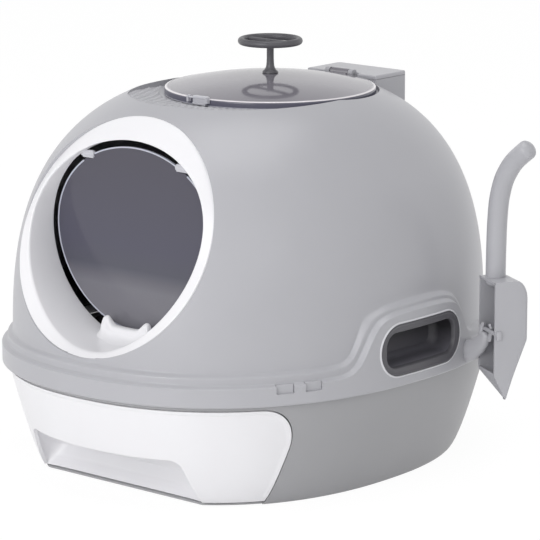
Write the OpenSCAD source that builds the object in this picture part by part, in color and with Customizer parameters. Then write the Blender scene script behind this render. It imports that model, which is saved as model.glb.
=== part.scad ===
// Hooded litter box with a front entry, a lidded roof opening and a waste drawer.
// Millimetres, +Z up, front towards -Y. The origin is the middle of the underside.

/* [Hood] */
// Half width of the hood's rim, left to right
rim_a = 235; // [233:0.5:237]
// Half depth of the hood's rim, front to back
rim_b = 277; // [275:0.5:279]
// Height of the rim's lower edge
rim_z = 113; // [112:0.5:114]
// Half width of the dome
dome_a = 223; // [221:0.5:224]
// Half depth of the dome
dome_b = 265.5; // [263:0.5:267]
// Height at which the dome's curve would close
dome_top = 409; // [407:0.5:411]
// Wall of the moulded shells
wall = 3; // [2.5:0.5:3.5]

/* [Base] */
// Half width of the tub at the floor
foot_a = 192; // [189:1:194]
// Half depth of the tub at the floor
foot_b = 234; // [231:1:236]
// Height of the tub's wall
tub_h = 112.9; // [112.5:0.5:113.5]
// Thickness of the tub's floor
floor_t = 3.5; // [3:0.5:4]

/* [Drawer] */
// Height of the drawer face
face_top = 107.5; // [104:0.5:108]
// Half width of the finger recess
grip_a = 106; // [90:1:108]
// Height of the finger recess
grip_h = 52; // [48:1:56]

/* [Entry] */
// Radius of the entry ring
ring_r = 128; // [126:0.5:128.5]
// Lean of the entry ring
ring_lean = 23.9; // [23:0.1:25]
// Radius of the flap's hinge pins
flap_pin_r = 1.5; // [1.2:0.1:1.7]

/* [Roof] */
// Radius of the lid
lid_r = 113; // [110:0.5:114]
// Distance of the lid's middle behind the hood's middle
lid_y = 31.5; // [30:0.5:33]
// Radius of the roof opening
roof_r = 98; // [90:1:99]
// Outer radius of the knob's ring
knob_r = 34.5; // [30:0.5:36]

/* [Scoop] */
// Distance of the scoop's handle behind the hood's middle
scoop_y = 94; // [92:0.5:96]
// Width of the scoop's bowl
bowl_w = 42; // [38:1:44]

/* [Hidden] */
$fn = 72;
eps = 0.01;

// Rim and dome sections are superellipses
rim_n = 2.3;
dome_n = 2.27;
dome_z0 = 130.4;
dome_m = 2.71;
shoulder_z = 133;
cut_top = 402;
// Rise of the rim over the side handles
arch_h = 56;
arch_y = 112;

// Roof: heights of the lid's seat and of the dome's flat top, and the step between them
seat_z = 384;
step_z = 391.2;
step_t = 3;
step_run = 49;
seat_r = lid_r + 3.5;

// Entry: middle and lean of the ring, of its inner edge and of the tunnel's rear edge
ring_c = [0, -210.5, 265.6];
lip_c = [0, -218.3, 257.1];
lip_lean = 19;
rear_c = [0, -184, 257];
flap_c = [0, -180, 257.2];
flap_t = 2;
pin_z = 340;
knuckle_x = 62.5;
knuckle_w = 8;
socket_x = 86;
socket_r = 3;

// Side handles
handle_z = 152;
bezel_w = 65;
bezel_h = 28;
cup_w = 57.5;
cup_h = 20.5;
cup_x = 203;

// Filter box behind the lid
box_a = 48;
box_y0 = 151;
box_y1 = 206;
box_top = 392.5;
// Notch in the box for the lid's hinge
notch_a = 22;
notch_y = 157;

// Lid hinge
hinge_y = 150;
hinge_z = 392.5;
hinge_r = 2;

// Scoop: its handle, the middle of its bowl and the way that the bowl's opening is turned
scoop_x = 255.2;
bowl_c = [267.3, 93];
bowl_turn = 60;
bowl_d = 38;
hook_z = 152.5;
// Place of the bar across the bowl's opening
bar_x = 2.4 - bowl_d / 2;

plastic = [0.76, 0.76, 0.79];
white = [0.93, 0.93, 0.94];
clear = [0.8, 0.8, 0.84, 0.6];
smoke = [0.36, 0.35, 0.4, 0.7];
dark = [0.35, 0.35, 0.37];

function spow(c, e) = sign(c) * pow(abs(c), e);
function super_pt(a, b, n, t, z) = [a * spow(cos(t), 2 / n), b * spow(sin(t), 2 / n), z];
function tub_grow(z) = 36 * pow(max(0, min(z, rim_z)) / rim_z, 0.75);
function tub_pt(t, z, off) = super_pt(foot_a + tub_grow(z) - off, foot_b + tub_grow(z) - off, dome_n, t, z);
function dome_s(z) = pow(max(0, 1 - pow(min(1, max(0, (z - dome_z0) / (dome_top - dome_z0))), dome_m)), 1 / dome_m);
function dome_pt(t, z, off) = super_pt(dome_a * dome_s(z) - off, dome_b * dome_s(z) - off, dome_n, t, z);

// Height of the shoulder, which rises in an arch over each side handle
function arch_rise(y, reach) = arch_h * pow(max(0, 1 - pow(min(1, abs(y) / reach), 2.6)), 0.5);
function shoulder(t, reach = arch_y) = shoulder_z + arch_rise(super_pt(rim_a, rim_b, rim_n, t, 0)[1], reach);

// A solid through rings of equal length, closed at both ends by flat faces
module loft(rings) {
    n = len(rings[0]);
    m = len(rings);
    sides = [for (j = [0 : m - 2], i = [0 : n - 1], k = [0, 1])
        let (a = j * n + i, b = j * n + (i + 1) % n)
        k == 0 ? [a, a + n, b] : [b, a + n, b + n]];
    ends = [[for (i = [0 : n - 1]) i], [for (i = [n - 1 : -1 : 0]) (m - 1) * n + i]];
    polyhedron([for (r = rings) each r], concat(sides, ends), convexity = 6);
}

// A closed band whose cross-section is carried once round
module band(rings) {
    n = len(rings[0]);
    m = len(rings);
    sides = [for (j = [0 : m - 1], i = [0 : n - 1], k = [0, 1])
        let (a = j * n + i, b = j * n + (i + 1) % n, c = ((j + 1) % m) * n + i, d = ((j + 1) % m) * n + (i + 1) % n)
        k == 0 ? [a, c, b] : [b, c, d]];
    polyhedron([for (r = rings) each r], sides, convexity = 6);
}

hood_steps = [for (i = [0 : 71]) i * 5];
dome_levels = 12;

// The hood's outer skin: skirt, rounded shoulder, dome
module hood_skin() {
    loft(concat(
        [[for (t = hood_steps) super_pt(rim_a, rim_b, rim_n, t, rim_z)]],
        [for (p = [[0, 0], [6, 1.5], [10, 5], [12.5, 9.5]])
            [for (t = hood_steps) super_pt(rim_a - p[1], rim_b - p[1], rim_n, t, shoulder(t) + p[0])]],
        [for (j = [0 : dome_levels])
            let (u = sin(90 * j / dome_levels))
            [for (t = hood_steps) dome_pt(t, (shoulder(t) + 15) * (1 - u) + cut_top * u, 0)]]));
}

// The room under the hood's wall
module hood_room() {
    roof = seat_z - 4;
    loft(concat(
        [[for (t = hood_steps) super_pt(rim_a - wall, rim_b - wall, rim_n, t, rim_z - 1)]],
        [[for (t = hood_steps) super_pt(rim_a - wall, rim_b - wall, rim_n, t, shoulder(t, arch_y - 7) - 4)]],
        [for (j = [0 : dome_levels - 3])
            let (u = sin(90 * j / (dome_levels - 3)))
            [for (t = hood_steps) dome_pt(t, (shoulder(t, arch_y - 7) + 12) * (1 - u) + roof * u, wall)]]));
}

// A stadium prism along X, for the side handles
module stadium(w, h, x0, x1) {
    translate([x0, 0, handle_z]) rotate([90, 0, 90]) linear_extrude(x1 - x0)
        union() {
            square([2 * (w - h), 2 * h], center = true);
            for (s = [-1, 1]) translate([s * (w - h), 0]) circle(h);
        }
}

// What lies above the step: a shallow dish about the lid, inside the outline of the dome's flat top
module step_dish(grow, drop) {
    intersection() {
        translate([0, 0, seat_z - 10]) linear_extrude(50)
            polygon([for (t = hood_steps) let (p = dome_pt(t, step_z, -grow)) [p[0], p[1]]]);
        translate([0, lid_y, -drop]) rotate_extrude($fn = 144)
            polygon([[0, seat_z], [seat_r, seat_z], [seat_r + 1.2 * step_run, seat_z + 1.2 * (step_z - seat_z)],
                [seat_r + 1.2 * step_run, seat_z + 40], [0, seat_z + 40]]);
    }
}

// Windows of the snap tabs: places along the rim, and their size
tab_angles = [-35.7, -28.4, -144.3, -151.6, 35.7, 144.3];
tab_w = 19;
tab_z = 125.5;
tab_h = 10;

module at_rim(t) {
    p = super_pt(rim_a, rim_b, rim_n, t, 0);
    q = super_pt(rim_a, rim_b, rim_n, t + 0.5, 0);
    translate([p[0], p[1], 0]) rotate([0, 0, atan2(q[1] - p[1], q[0] - p[0]) - 90]) children();
}

// The notch in the step that the lid's latch swings in
module latch_pocket(grow) {
    half = 14 + grow;
    depth = 17 + grow;
    translate([-half, -76 - depth, seat_z]) cube([2 * half, depth, 40]);
}

module hood() {
    color(plastic) {
        difference() {
            hood_skin();
            hood_room();
            translate(ring_c) rotate([90 - ring_lean, 0, 0]) translate([0, 0, -40]) cylinder(h = 110, r = ring_r + 0.6);
            translate([0, lid_y, seat_z]) cylinder(h = 40, r = seat_r);
            translate([0, lid_y, seat_z - 20]) cylinder(h = 40, r = roof_r);
            translate([-150, -200, step_z]) cube([300, 400, 40]);
            step_dish(0, step_t);
            latch_pocket(0);
            translate([-20, hinge_y - 6, seat_z]) cube([40, 10.8, 40]);
            for (m = [0, 1]) mirror([m, 0, 0]) stadium(bezel_w + 0.3, bezel_h + 0.3, 190, 245);
            translate([-30, 172, 330]) cube([60, 18, 60]);
            for (t = tab_angles) at_rim(t) translate([-8, -tab_w / 2, tab_z]) cube([16, tab_w, tab_h]);
        }
        for (t = [20, 55, 90, 125, 160, -48, -80, -100, -132])
            at_rim(t) translate([-16, -4, tub_h + 2.9]) cube([14, 8, 5]);
    }
}

// Wall of the tub with the drawer's bay left open
module tub_solid(off, z0, z1) {
    loft([for (z = [z0, z0 + (z1 - z0) * 0.12, z0 + (z1 - z0) * 0.3, z0 + (z1 - z0) * 0.6, z1])
        [for (t = hood_steps) tub_pt(t, z, off)]]);
}

// The drawer's bay: a slanted face cuts the tub's wall at each end of the drawer face
bay_foot_y = -159.5;
bay_top_y = -149.3;
// Rounding of the bay's upper corners, seen from the side
bay_round = [38.5, 45];

module bay_wedge(side, z0, z1) {
    middle = [bay_top_y - side - bay_round[0], z1 - bay_round[1]];
    rotate([90, 0, 90]) linear_extrude(460, center = true)
        polygon(concat([[-300, z0], [bay_foot_y - side, z0]],
            [for (t = [0 : 10 : 90]) middle + [bay_round[0] * cos(t), bay_round[1] * sin(t)]], [[-300, z1]]));
}

module base_pan() {
    color(plastic) {
        difference() {
            intersection() {
                tub_solid(0, 0, tub_h);
                translate([-250, -300, -1]) cube([500, 600, floor_t + 1]);
            }
            translate([-grip_a, -300, -1]) cube([2 * grip_a, 100, 20]);
            for (x = [-1, 1], y = [-1, 1]) translate([x * 120, y * 140, -1]) cylinder(h = 3, r = 12.3);
        }
        difference() {
            tub_solid(0, floor_t - eps, tub_h);
            tub_solid(wall, floor_t - 1, tub_h + 1);
            bay_wedge(0, -1, face_top + 1.2);
        }
    }
}

module foot_pads() {
    color(dark)
        for (x = [-1, 1], y = [-1, 1]) translate([x * 120, y * 140, 0]) cylinder(h = 2, r = 12);
}

module drawer_rails() {
    color(plastic)
        for (x = [-1, 1]) translate([x * 120 - 4, -140, floor_t]) cube([8, 300, 2.1]);
}

// Snap tabs that stand on the tub's wall behind the rim's windows
module rim_tabs() {
    color(plastic)
        for (t = tab_angles) at_rim(t) translate([-7.2, 0.5 - tab_w / 2, rim_z + 0.6])
            cube([3, tab_w - 1, tab_z + tab_h - rim_z - 1.1]);
}

// Finger recess: its outline seen from the side
grip_line = [[-200, 0], [-190, 12], [-186, 27], [-192, 41], [-206, 48], [-262, grip_h]];

module grip_prism(grow, w) {
    rotate([90, 0, 90]) linear_extrude(2 * w, center = true)
        polygon(concat([for (p = grip_line) [p[0] + (p[0] > -260 ? grow : 0), p[1] + (p[1] > 0 ? grow * 0.6 : -1)]],
            [[-300, grip_h + grow * 0.6], [-300, -1]]));
}

// Thickness of the drawer's face and of the walls of its finger recess
face_t = 4;
grip_t = 3;

module drawer_front() {
    color(white)
        difference() {
            intersection() {
                tub_solid(0, 0, tub_h);
                bay_wedge(1, floor_t + 0.7, face_top);
            }
            tub_solid(face_t, -1, tub_h);
            grip_prism(face_t, grip_a + grip_t);
        }
}

// The walls of the finger recess, which fill the opening in the face
module drawer_grip() {
    color(white)
        intersection() {
            tub_solid(0, 0, tub_h);
            difference() {
                bay_wedge(1, floor_t + 0.7, face_top);
                grip_prism(0, grip_a);
            }
            grip_prism(face_t - eps, grip_a + grip_t - eps);
        }
}

tray_a = 140;
tray_y0 = -181.8;
tray_y1 = 150;
tray_z0 = 6;
tray_h = 46;

// Plan of the tray, its front corners cut off to clear the curved face
module tray_plan(off) {
    a = tray_a - off;
    y0 = tray_y0 + off;
    cut = 10 - off * 0.4;
    polygon([[-a, tray_y1 - off], [-a, y0 + cut], [-a + cut, y0], [a - cut, y0], [a, y0 + cut], [a, tray_y1 - off]]);
}

module drawer_tray() {
    color(white) translate([0, 0, tray_z0])
        difference() {
            linear_extrude(tray_h) tray_plan(0);
            translate([0, 0, 2.5]) linear_extrude(tray_h) tray_plan(2.5);
        }
}

pan_floor = 58;
pan_a = 190;
pan_b = 226;
pan_n = 2.27;

function pan_pt(t, z, off) =
    let (g = 18 * (z - pan_floor) / (tub_h - pan_floor)) super_pt(pan_a + g - off, pan_b + g - off, pan_n, t, z);

// The pan ends in a lip turned outwards, by which it hangs on its rim
lip_z = tub_h + 2.65;
lip_w = 2;
lip_t = 1.3;

module litter_pan() {
    color(plastic)
        difference() {
            union() {
                loft([for (z = [pan_floor, lip_z + lip_t]) [for (t = hood_steps) pan_pt(t, z, 0)]]);
                loft([for (z = [lip_z, lip_z + lip_t]) [for (t = hood_steps) pan_pt(t, z, -lip_w)]]);
            }
            loft([for (z = [pan_floor + wall, lip_z + 2 * lip_t]) [for (t = hood_steps) pan_pt(t, z, wall)]]);
            translate([-sieve_a, sieve_y, pan_floor - 1]) cube([2 * sieve_a, sieve_b, 10]);
        }
}

// The flat ring that carries the pan on the tub's edge
module pan_rim() {
    color(plastic)
        difference() {
            translate([0, 0, tub_h + 0.3]) linear_extrude(2.3) polygon([for (t = hood_steps)
                let (p = super_pt(foot_a + 35, foot_b + 35, pan_n, t, 0)) [p[0], p[1]]]);
            loft([for (z = [tub_h - 1, tub_h + 4]) [for (t = hood_steps) pan_pt(t, z, -0.15)]]);
        }
}

// Slatted step over the opening in the pan's floor
sieve_a = 92;
sieve_y = -184;
sieve_b = 56;
slat_pitch = 17;
slat_gap = 9;

module sift_step() {
    skin = 3;
    a = sieve_a + 8;
    b = sieve_b + 16;
    h = 42;
    color(plastic) translate([0, sieve_y - 8, pan_floor + wall + 0.2])
        difference() {
            translate([-a, 0, 0]) cube([2 * a, b, h]);
            translate([skin - a, skin, -1]) cube([2 * (a - skin), b - 2 * skin, h - skin + 1]);
            for (i = [-5 : 5]) translate([i * slat_pitch - slat_gap / 2, 10, 0]) cube([slat_gap, b - 20, 60]);
        }
}

// Egg outline: wider above the middle than below it
function egg(c, ax, av, k, lean, t) =
    [ax * cos(t) * (1 + k * sin(t)), c[1] + av * sin(t) * sin(lean), c[2] + av * sin(t) * cos(lean)];
function ring_pt(r, back, t) =
    [r * cos(t), ring_c[1] + r * sin(t) * sin(ring_lean) + back * cos(ring_lean),
        ring_c[2] + r * sin(t) * cos(ring_lean) - back * sin(ring_lean)];
function lip_pt(t, in) = egg(lip_c, 115.8 - in, 108.7 - in, 0.142, lip_lean, t);
function rear_pt(t, in) =
    let (p = egg(rear_c, 113.5 - in, 105 - in, 0.05, 0, t)) [p[0], max(p[1], lip_pt(t, 0)[1] + 8), p[2]];

module entry_ring() {
    color(white)
        difference() {
            band([for (t = hood_steps)
                [ring_pt(ring_r, -1.5, t), lip_pt(t, 0), rear_pt(t, 0), rear_pt(t, -3), ring_pt(ring_r, 6, t)]]);
            for (s = [-1, 1]) translate([s * 79, flap_c[1], pin_z]) rotate([0, 90, 0])
                cylinder(h = 22.2, r = socket_r + 0.02, center = true);
        }
}

// The room of the tunnel, a little smaller than the tunnel itself
module tunnel_room() {
    loft([[for (t = hood_steps) lip_pt(t, 0.3)], [for (t = hood_steps) rear_pt(t, 0.3)]]);
}

module flap_stop() {
    horn_x = 29;
    color(white)
        intersection() {
            tunnel_room();
            union() {
                rotate([90, 0, 90]) linear_extrude(66, center = true)
                    polygon([[-249, 130], [-249, 156.5], [-225, 157.5], [-208, 160], [-197, 165], [-187, 165],
                        [-187, 130]]);
                for (s = [-1, 1]) translate([s * horn_x, -187, 169]) rotate([90, 0, 0]) cylinder(h = 11, r = 7);
                for (s = [-1, 1]) translate([s * horn_x - 5, -198, 150]) cube([10, 11, 19]);
            }
        }
}

module flap_socket(s) {
    color(white)
        translate([s * socket_x, flap_c[1], pin_z]) rotate([0, 90, 0])
            difference() {
                cylinder(h = 8, r = socket_r, center = true);
                cylinder(h = 12, r = flap_pin_r + 0.06, center = true);
            }
}

module flap_socket_left() { flap_socket(-1); }
module flap_socket_right() { flap_socket(1); }

module flap() {
    color(smoke)
        difference() {
            translate([0, flap_c[1] + flap_t / 2, 0]) rotate([90, 0, 0]) linear_extrude(flap_t)
                polygon([for (t = hood_steps) let (p = egg(flap_c, 110, 96.4, 0.067, 0, t)) [p[0], p[2]]]);
            for (s = [-1, 1]) translate([s * (knuckle_x + 4) - 8.3, -190, 334]) cube([16.6, 20, 30]);
        }
}

module flap_knuckle(s) {
    color(clear) {
        translate([s * knuckle_x, flap_c[1], pin_z]) rotate([0, 90, 0])
            cylinder(h = knuckle_w, r = 3.2, center = true);
        translate([s * knuckle_x - knuckle_w / 2, flap_c[1] - 1.2, 334.2]) cube([knuckle_w, 2.4, 5]);
        translate([s * (knuckle_x + knuckle_w / 2 - eps), flap_c[1], pin_z]) rotate([0, s * 90, 0])
            cylinder(h = 20.5, r = flap_pin_r);
    }
}

module flap_knuckle_left() { flap_knuckle(-1); }
module flap_knuckle_right() { flap_knuckle(1); }

module handle_insert(m) {
    color(dark)
        mirror([m, 0, 0])
            intersection() {
                difference() {
                    union() {
                        stadium(bezel_w, bezel_h, 226, 245);
                        stadium(cup_w + wall, cup_h + wall, cup_x - wall, 232);
                    }
                    stadium(cup_w, cup_h, cup_x, 250);
                }
                linear_extrude(220) polygon([for (t = hood_steps)
                    let (p = super_pt(rim_a + 1, rim_b + 1, rim_n, t, 0)) [p[0], p[1]]]);
            }
}

module handle_insert_left() { handle_insert(1); }
module handle_insert_right() { handle_insert(0); }

module step_pad() {
    color(plastic)
        difference() {
            intersection() {
                hood_skin();
                step_dish(-0.3, step_t - 0.05);
            }
            step_dish(5, 0);
            translate([0, lid_y, 300]) cylinder(h = 120, r = seat_r + 0.3);
            latch_pocket(0.3);
        }
}

// Plan of the filter box, notched for the lid's hinge and rounded at its back corners
module box_plan(off) {
    r = 5;
    difference() {
        union() {
            translate([-box_a + off, box_y0 + off]) square([2 * (box_a - off), box_y1 - box_y0 - off - r]);
            for (s = [-1, 1]) translate([s * (box_a - r), box_y1 - r]) circle(r - off);
            translate([-box_a + r, box_y1 - r - 1]) square([2 * (box_a - r), r + 1 - off]);
        }
        translate([-notch_a - off, box_y0 - 1]) square([2 * (notch_a + off), notch_y - box_y0 + 1 + off]);
    }
}

cover_t = 4;
pad_z = 381;
pad_y = 166;

// Plan of the filter's pad, which lies behind the dome
module pad_plan(off) {
    difference() {
        box_plan(2.5 + off);
        translate([-60, 100]) square([120, pad_y + off - 100]);
    }
}

module filter_box() {
    color(plastic)
        difference() {
            translate([0, 0, 330]) linear_extrude(box_top - cover_t - 0.4 - 330) box_plan(0);
            hood_skin();
            translate([0, 0, pad_z]) linear_extrude(20) pad_plan(0);
            translate([-box_a + 2.5, 172, 300]) cube([2 * box_a - 5, box_y1 - 172 - 2.5, 78]);
            for (i = [-3 : 3]) translate([i * 11 - 2.5, 172, 370]) cube([5, 22, 20]);
            for (i = [-3 : 3]) translate([i * 11 - 2.5, 190, 360]) cube([5, 24, 12]);
        }
}

module filter_pad() {
    color([0.15, 0.15, 0.15])
        translate([0, 0, pad_z + 0.1]) linear_extrude(6) pad_plan(0.5);
}

module filter_cover() {
    color(plastic) translate([0, 0, box_top - cover_t]) {
        linear_extrude(cover_t - 1.2) box_plan(0);
        translate([0, 0, cover_t - 1.3]) linear_extrude(1.3) box_plan(1.2);
    }
}

module lid_hinge_bracket() {
    color(plastic)
        difference() {
            for (s = [-1, 1])
                translate([s * 16 - 3, hinge_y, 0]) {
                    translate([0, 0, hinge_z]) rotate([0, 90, 0]) cylinder(h = 6, r = 4.5);
                    translate([0, -4.5, seat_z]) cube([6, 9, hinge_z - seat_z]);
                }
            translate([-30, hinge_y, hinge_z]) rotate([0, 90, 0]) cylinder(h = 60, r = hinge_r);
        }
}

module lid_hinge_pin() {
    color(dark) translate([-19, hinge_y, hinge_z]) rotate([0, 90, 0]) cylinder(h = 38, r = hinge_r);
}

// Clear lid: a shallow dome with an upright rim, and the hinge knuckle behind
lid_rim = [seat_z + 0.4, seat_z + 7.5];
crown_z = 405.5;
crown_sag = crown_z - lid_rim[1];
crown_r = (lid_r * lid_r + crown_sag * crown_sag) / (2 * crown_sag);

module top_lid() {
    skin = 2.2;
    color(clear) {
        difference() {
            union() {
                translate([0, lid_y, 0]) rotate_extrude() difference() {
                    intersection() {
                        translate([0, crown_z - crown_r]) circle(crown_r, $fn = 360);
                        translate([0, lid_rim[0]]) square([lid_r, 40]);
                    }
                    intersection() {
                        translate([0, crown_z - crown_r]) circle(crown_r - skin, $fn = 360);
                        translate([-1, lid_rim[0] - 1]) square([lid_r - skin + 1, 40]);
                    }
                }
                translate([-12, hinge_y, hinge_z]) rotate([0, 90, 0]) cylinder(h = 24, r = 4.5);
                translate([-12, lid_y + lid_r - 3, lid_rim[1] - 3.5]) cube([24, hinge_y - lid_y - lid_r + 3, 5]);
            }
            translate([-30, hinge_y, hinge_z]) rotate([0, 90, 0]) cylinder(h = 60, r = hinge_r + 0.06);
            translate([0, lid_y, 380]) cylinder(h = 60, r = 2.3);
        }
    }
}

knob_z = 440;
tube_r = 3.5;
tube_rise = 1.2;

module lid_knob() {
    color(dark) translate([0, lid_y, 0]) {
        difference() {
            union() {
                rotate_extrude() union() {
                    translate([0, crown_z + 0.02]) square([8.5, 1.6]);
                    polygon([[0, crown_z + 1], [8.5, crown_z + 1.6], [6, crown_z + 3.5], [4.4, crown_z + 7],
                        [3.8, crown_z + 12], [3.8, knob_z], [0, knob_z]]);
                }
                translate([0, 0, knob_z]) rotate_extrude() translate([knob_r - tube_r, 0]) union() {
                    square([2 * tube_r, 2 * tube_rise], center = true);
                    for (s = [-1, 1]) translate([0, s * tube_rise]) circle(tube_r, $fn = 24);
                }
                translate([-knob_r + tube_r, -3.5, knob_z - 2.4]) cube([2 * (knob_r - tube_r), 7, 4.8]);
            }
            translate([0, 0, crown_z - 1]) cylinder(h = 16, r = 2);
        }
    }
}

module knob_screw() {
    color([0.6, 0.6, 0.62]) translate([0, lid_y, 0]) {
        translate([0, 0, crown_z - 4.6]) cylinder(h = 2.3, r = 4);
        translate([0, 0, crown_z - 3]) cylinder(h = 16, r = 1.98);
    }
}

latch_y = lid_y - lid_r - 3;
latch_z = 393;

module lid_latch() {
    color(clear)
        difference() {
            union() {
                translate([-11, latch_y, latch_z]) rotate([0, 90, 0]) cylinder(h = 22, r = 2.4);
                translate([-11, latch_y - 1.2, seat_z + 1]) cube([22, 2.2, latch_z - seat_z - 1]);
            }
            translate([-20, latch_y, latch_z]) rotate([0, 90, 0]) cylinder(h = 40, r = 1.06);
        }
}

module lid_latch_pin() {
    color(clear) {
        translate([-14, latch_y, latch_z]) rotate([0, 90, 0]) cylinder(h = 28, r = 1);
        for (s = [-1, 1]) translate([s * 12.9 - 1.3, latch_y - 1.6, latch_z - 5]) cube([2.6, 4.5, 6.6]);
    }
}

// Holder: a horn that grows out of the hood's rim, with a slot for the scoop's bar
horn = [[216, 116], [231, 115], [241.6, 121.6], [251.5, 127.6], [259, 136], [261, 146], [260.5, 156], [257.5, 161.5],
    [250, 161], [240.5, 154.5], [233, 145], [216, 139]];
horn_y = 82;
horn_w = 7;
slot_w = 9;
bar_r = 2.2;

module scoop_holder() {
    color(plastic)
        difference() {
            translate([0, horn_y + horn_w / 2, 0]) rotate([90, 0, 0]) linear_extrude(horn_w) polygon(horn);
            at_bowl() translate([bar_x - slot_w / 2, -bowl_w / 2, hook_z]) cube([slot_w, bowl_w, 20]);
            hood_skin();
            hood_room();
        }
}

// Bowl: its side, seen across the opening, which faces -X before it is turned
bowl_top = 210;
bowl_wall = 2.2;

module bowl_side(off) {
    front = -bowl_d / 2 - (off > 0 ? 5 : 0);
    back = bowl_d / 2 - off;
    lip = 111 + off;
    polygon([[front, bowl_top - off], [8, bowl_top - off], [back, 198 - off], [back, 147], [-6 + off * 0.8, 85 + off * 1.7],
        [-bowl_d / 2 + off, lip], [front, lip]]);
}

module at_bowl() {
    translate([bowl_c[0], bowl_c[1], 0]) rotate([0, 0, bowl_turn]) children();
}

module scoop_bowl() {
    color(plastic) at_bowl() {
        difference() {
            rotate([90, 0, 0]) linear_extrude(bowl_w, center = true) bowl_side(0);
            rotate([90, 0, 0]) linear_extrude(bowl_w - 2 * bowl_wall, center = true) bowl_side(bowl_wall);
        }
        translate([bar_x, 1 - bowl_w / 2, hook_z + bar_r + 0.3]) rotate([-90, 0, 0])
            cylinder(h = bowl_w - 2, r = bar_r);
    }
}

// Handle: a tube that rises and then bends away from the hood
handle_r = 10.5;
handle_path = [[scoop_x, bowl_top], [scoop_x + 0.5, 235], [scoop_x + 3, 265], [scoop_x + 7, 292], [scoop_x + 14, 315],
    [scoop_x + 26, 334], [scoop_x + 43, 348]];

module scoop_handle() {
    n = len(handle_path);
    steps = [for (i = [0 : 23]) i * 15];
    color(plastic)
        loft([for (j = [0 : n - 1])
            let (p = handle_path[j], q = handle_path[min(n - 1, j + 1)], o = handle_path[max(0, j - 1)],
                d = j == 0 ? [0, 1] : (q - o) / norm(q - o))
            [for (t = steps) [p[0] + handle_r * cos(t) * d[1], scoop_y + handle_r * sin(t),
                p[1] - handle_r * cos(t) * d[0]]]]);
}

base_pan();
foot_pads();
drawer_rails();
rim_tabs();
drawer_front();
drawer_grip();
drawer_tray();
litter_pan();
pan_rim();
sift_step();
hood();
step_pad();
entry_ring();
flap_stop();
flap_socket_left();
flap_socket_right();
flap();
flap_knuckle_left();
flap_knuckle_right();
handle_insert_left();
handle_insert_right();
filter_box();
filter_pad();
filter_cover();
lid_hinge_bracket();
lid_hinge_pin();
top_lid();
lid_knob();
knob_screw();
lid_latch();
lid_latch_pin();
scoop_holder();
scoop_bowl();
scoop_handle();
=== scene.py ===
"""Hooded litter box with a front entry, a lidded roof opening, a waste drawer and a hung scoop.

Each piece is a surface worked out in millimetres in the frame's own axes: +Z up, the front towards -Y.
"""
import math

import bpy
import numpy as np
from mathutils import Matrix


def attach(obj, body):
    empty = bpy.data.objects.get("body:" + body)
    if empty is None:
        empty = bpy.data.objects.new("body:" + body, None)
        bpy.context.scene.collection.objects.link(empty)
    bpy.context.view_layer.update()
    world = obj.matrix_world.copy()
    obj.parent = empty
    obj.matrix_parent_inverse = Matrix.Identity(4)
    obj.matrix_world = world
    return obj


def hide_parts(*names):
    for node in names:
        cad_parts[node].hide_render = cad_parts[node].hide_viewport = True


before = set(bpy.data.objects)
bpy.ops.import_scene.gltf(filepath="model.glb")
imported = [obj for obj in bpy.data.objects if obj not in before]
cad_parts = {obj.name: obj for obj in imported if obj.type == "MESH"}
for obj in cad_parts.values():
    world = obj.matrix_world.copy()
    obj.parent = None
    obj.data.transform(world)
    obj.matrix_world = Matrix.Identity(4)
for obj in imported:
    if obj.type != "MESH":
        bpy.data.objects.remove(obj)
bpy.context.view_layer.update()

MM = 0.001
TAU = 2 * math.pi
PHOTO_PX = 540
HALVINGS = 14

# Hood: half width, half depth and exponent of its plan, and heights and exponent of its dome
RIM_Z = 113
DOME_A, DOME_B, DOME_N = 223, 265.5, 2.27
DOME_Z0, DOME_TOP, DOME_M = 130.4, 409, 2.71
RIM_OUT = 11.5
WALL = 3
CUT_TOP = 402
# The shoulder's height, and the rise, half length, softness, middle and sag of its arch over each handle
SHOULDER_Z, ARCH_RISE, ARCH_HALF, ARCH_SOFT, ARCH_Y = 133.5, 57, 81.3, 7.8, -1.75
ARCH_SAG = 0.0006
# Windows of the snap tabs in the rim: the rim's plan, their angles round it, and their width, foot and height
RIM_A, RIM_B, RIM_N = 235, 277, 2.3
TAB_ANGLES = [math.radians(a) for a in (-35.7, -28.4, -144.3, -151.6, 35.7, 144.3)]
TAB_W, TAB_Z, TAB_H = 19, 125.5, 10

# Roof: the lid's seat, the step in front of it with its studs, the lid and its knob
LID_Y, LID_R, SEAT_R, ROOF_R, SEAT_Z = 31.5, 113, 116.5, 98, 384
STEP_Z, STEP_RUN = 391.2, 49
STUD_PITCH, STUD_ROW, STUD_R, STUD_H, STUD_Y0 = 8.6, 8.6 * 0.87, 3.3, 1.5, -140
CLIP_POCKET_A, CLIP_POCKET_Y = 14.3, -92.5
CROWN_Z, LID_RIM_Z, LID_FOOT_Z = 405.5, 391.5, 384.4
KNOB_Z, KNOB_R = 440, 34.5

# Entry ring, its tunnel and the flap: Y and Z are those of their middles
RING_R, RING_LEAN, RING_Y, RING_Z = 128, math.radians(23.9), -210.5, 265.6
LIP_LEAN = math.radians(19)
FLAP_Y, PIN_Z, KNUCKLE_X = -180, 340, 62.5
# The flap's egg: height of its middle, half height, half width, and how much wider it is above than below
FLAP_Z, FLAP_RISE, FLAP_RUN, FLAP_EGG = 257.2, 96.4, 110, 0.067
SADDLE_A, SADDLE_Y, SADDLE_Z, HORN_X, HORN_W, HORN_H = 35, -192, 168, 27.5, 6.5, 8

# Tub and drawer
FOOT_A, FOOT_B, TUB_GROW, TUB_H = 192, 234, 36, 114
FACE_TOP, FACE_FOOT, BAY_FOOT_Y, BAY_TOP_Y, BAY_R = 107.5, 4.2, -159.5, -149.3, 45
GRIP_TOP_A, GRIP_FOOT_A, GRIP_H = 103, 112, 52

# Side handles
HANDLE_Z, BEZEL_W, BEZEL_H, CUP_W, CUP_H, CUP_X = 152, 65, 27, 56.5, 18.7, 203

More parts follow.
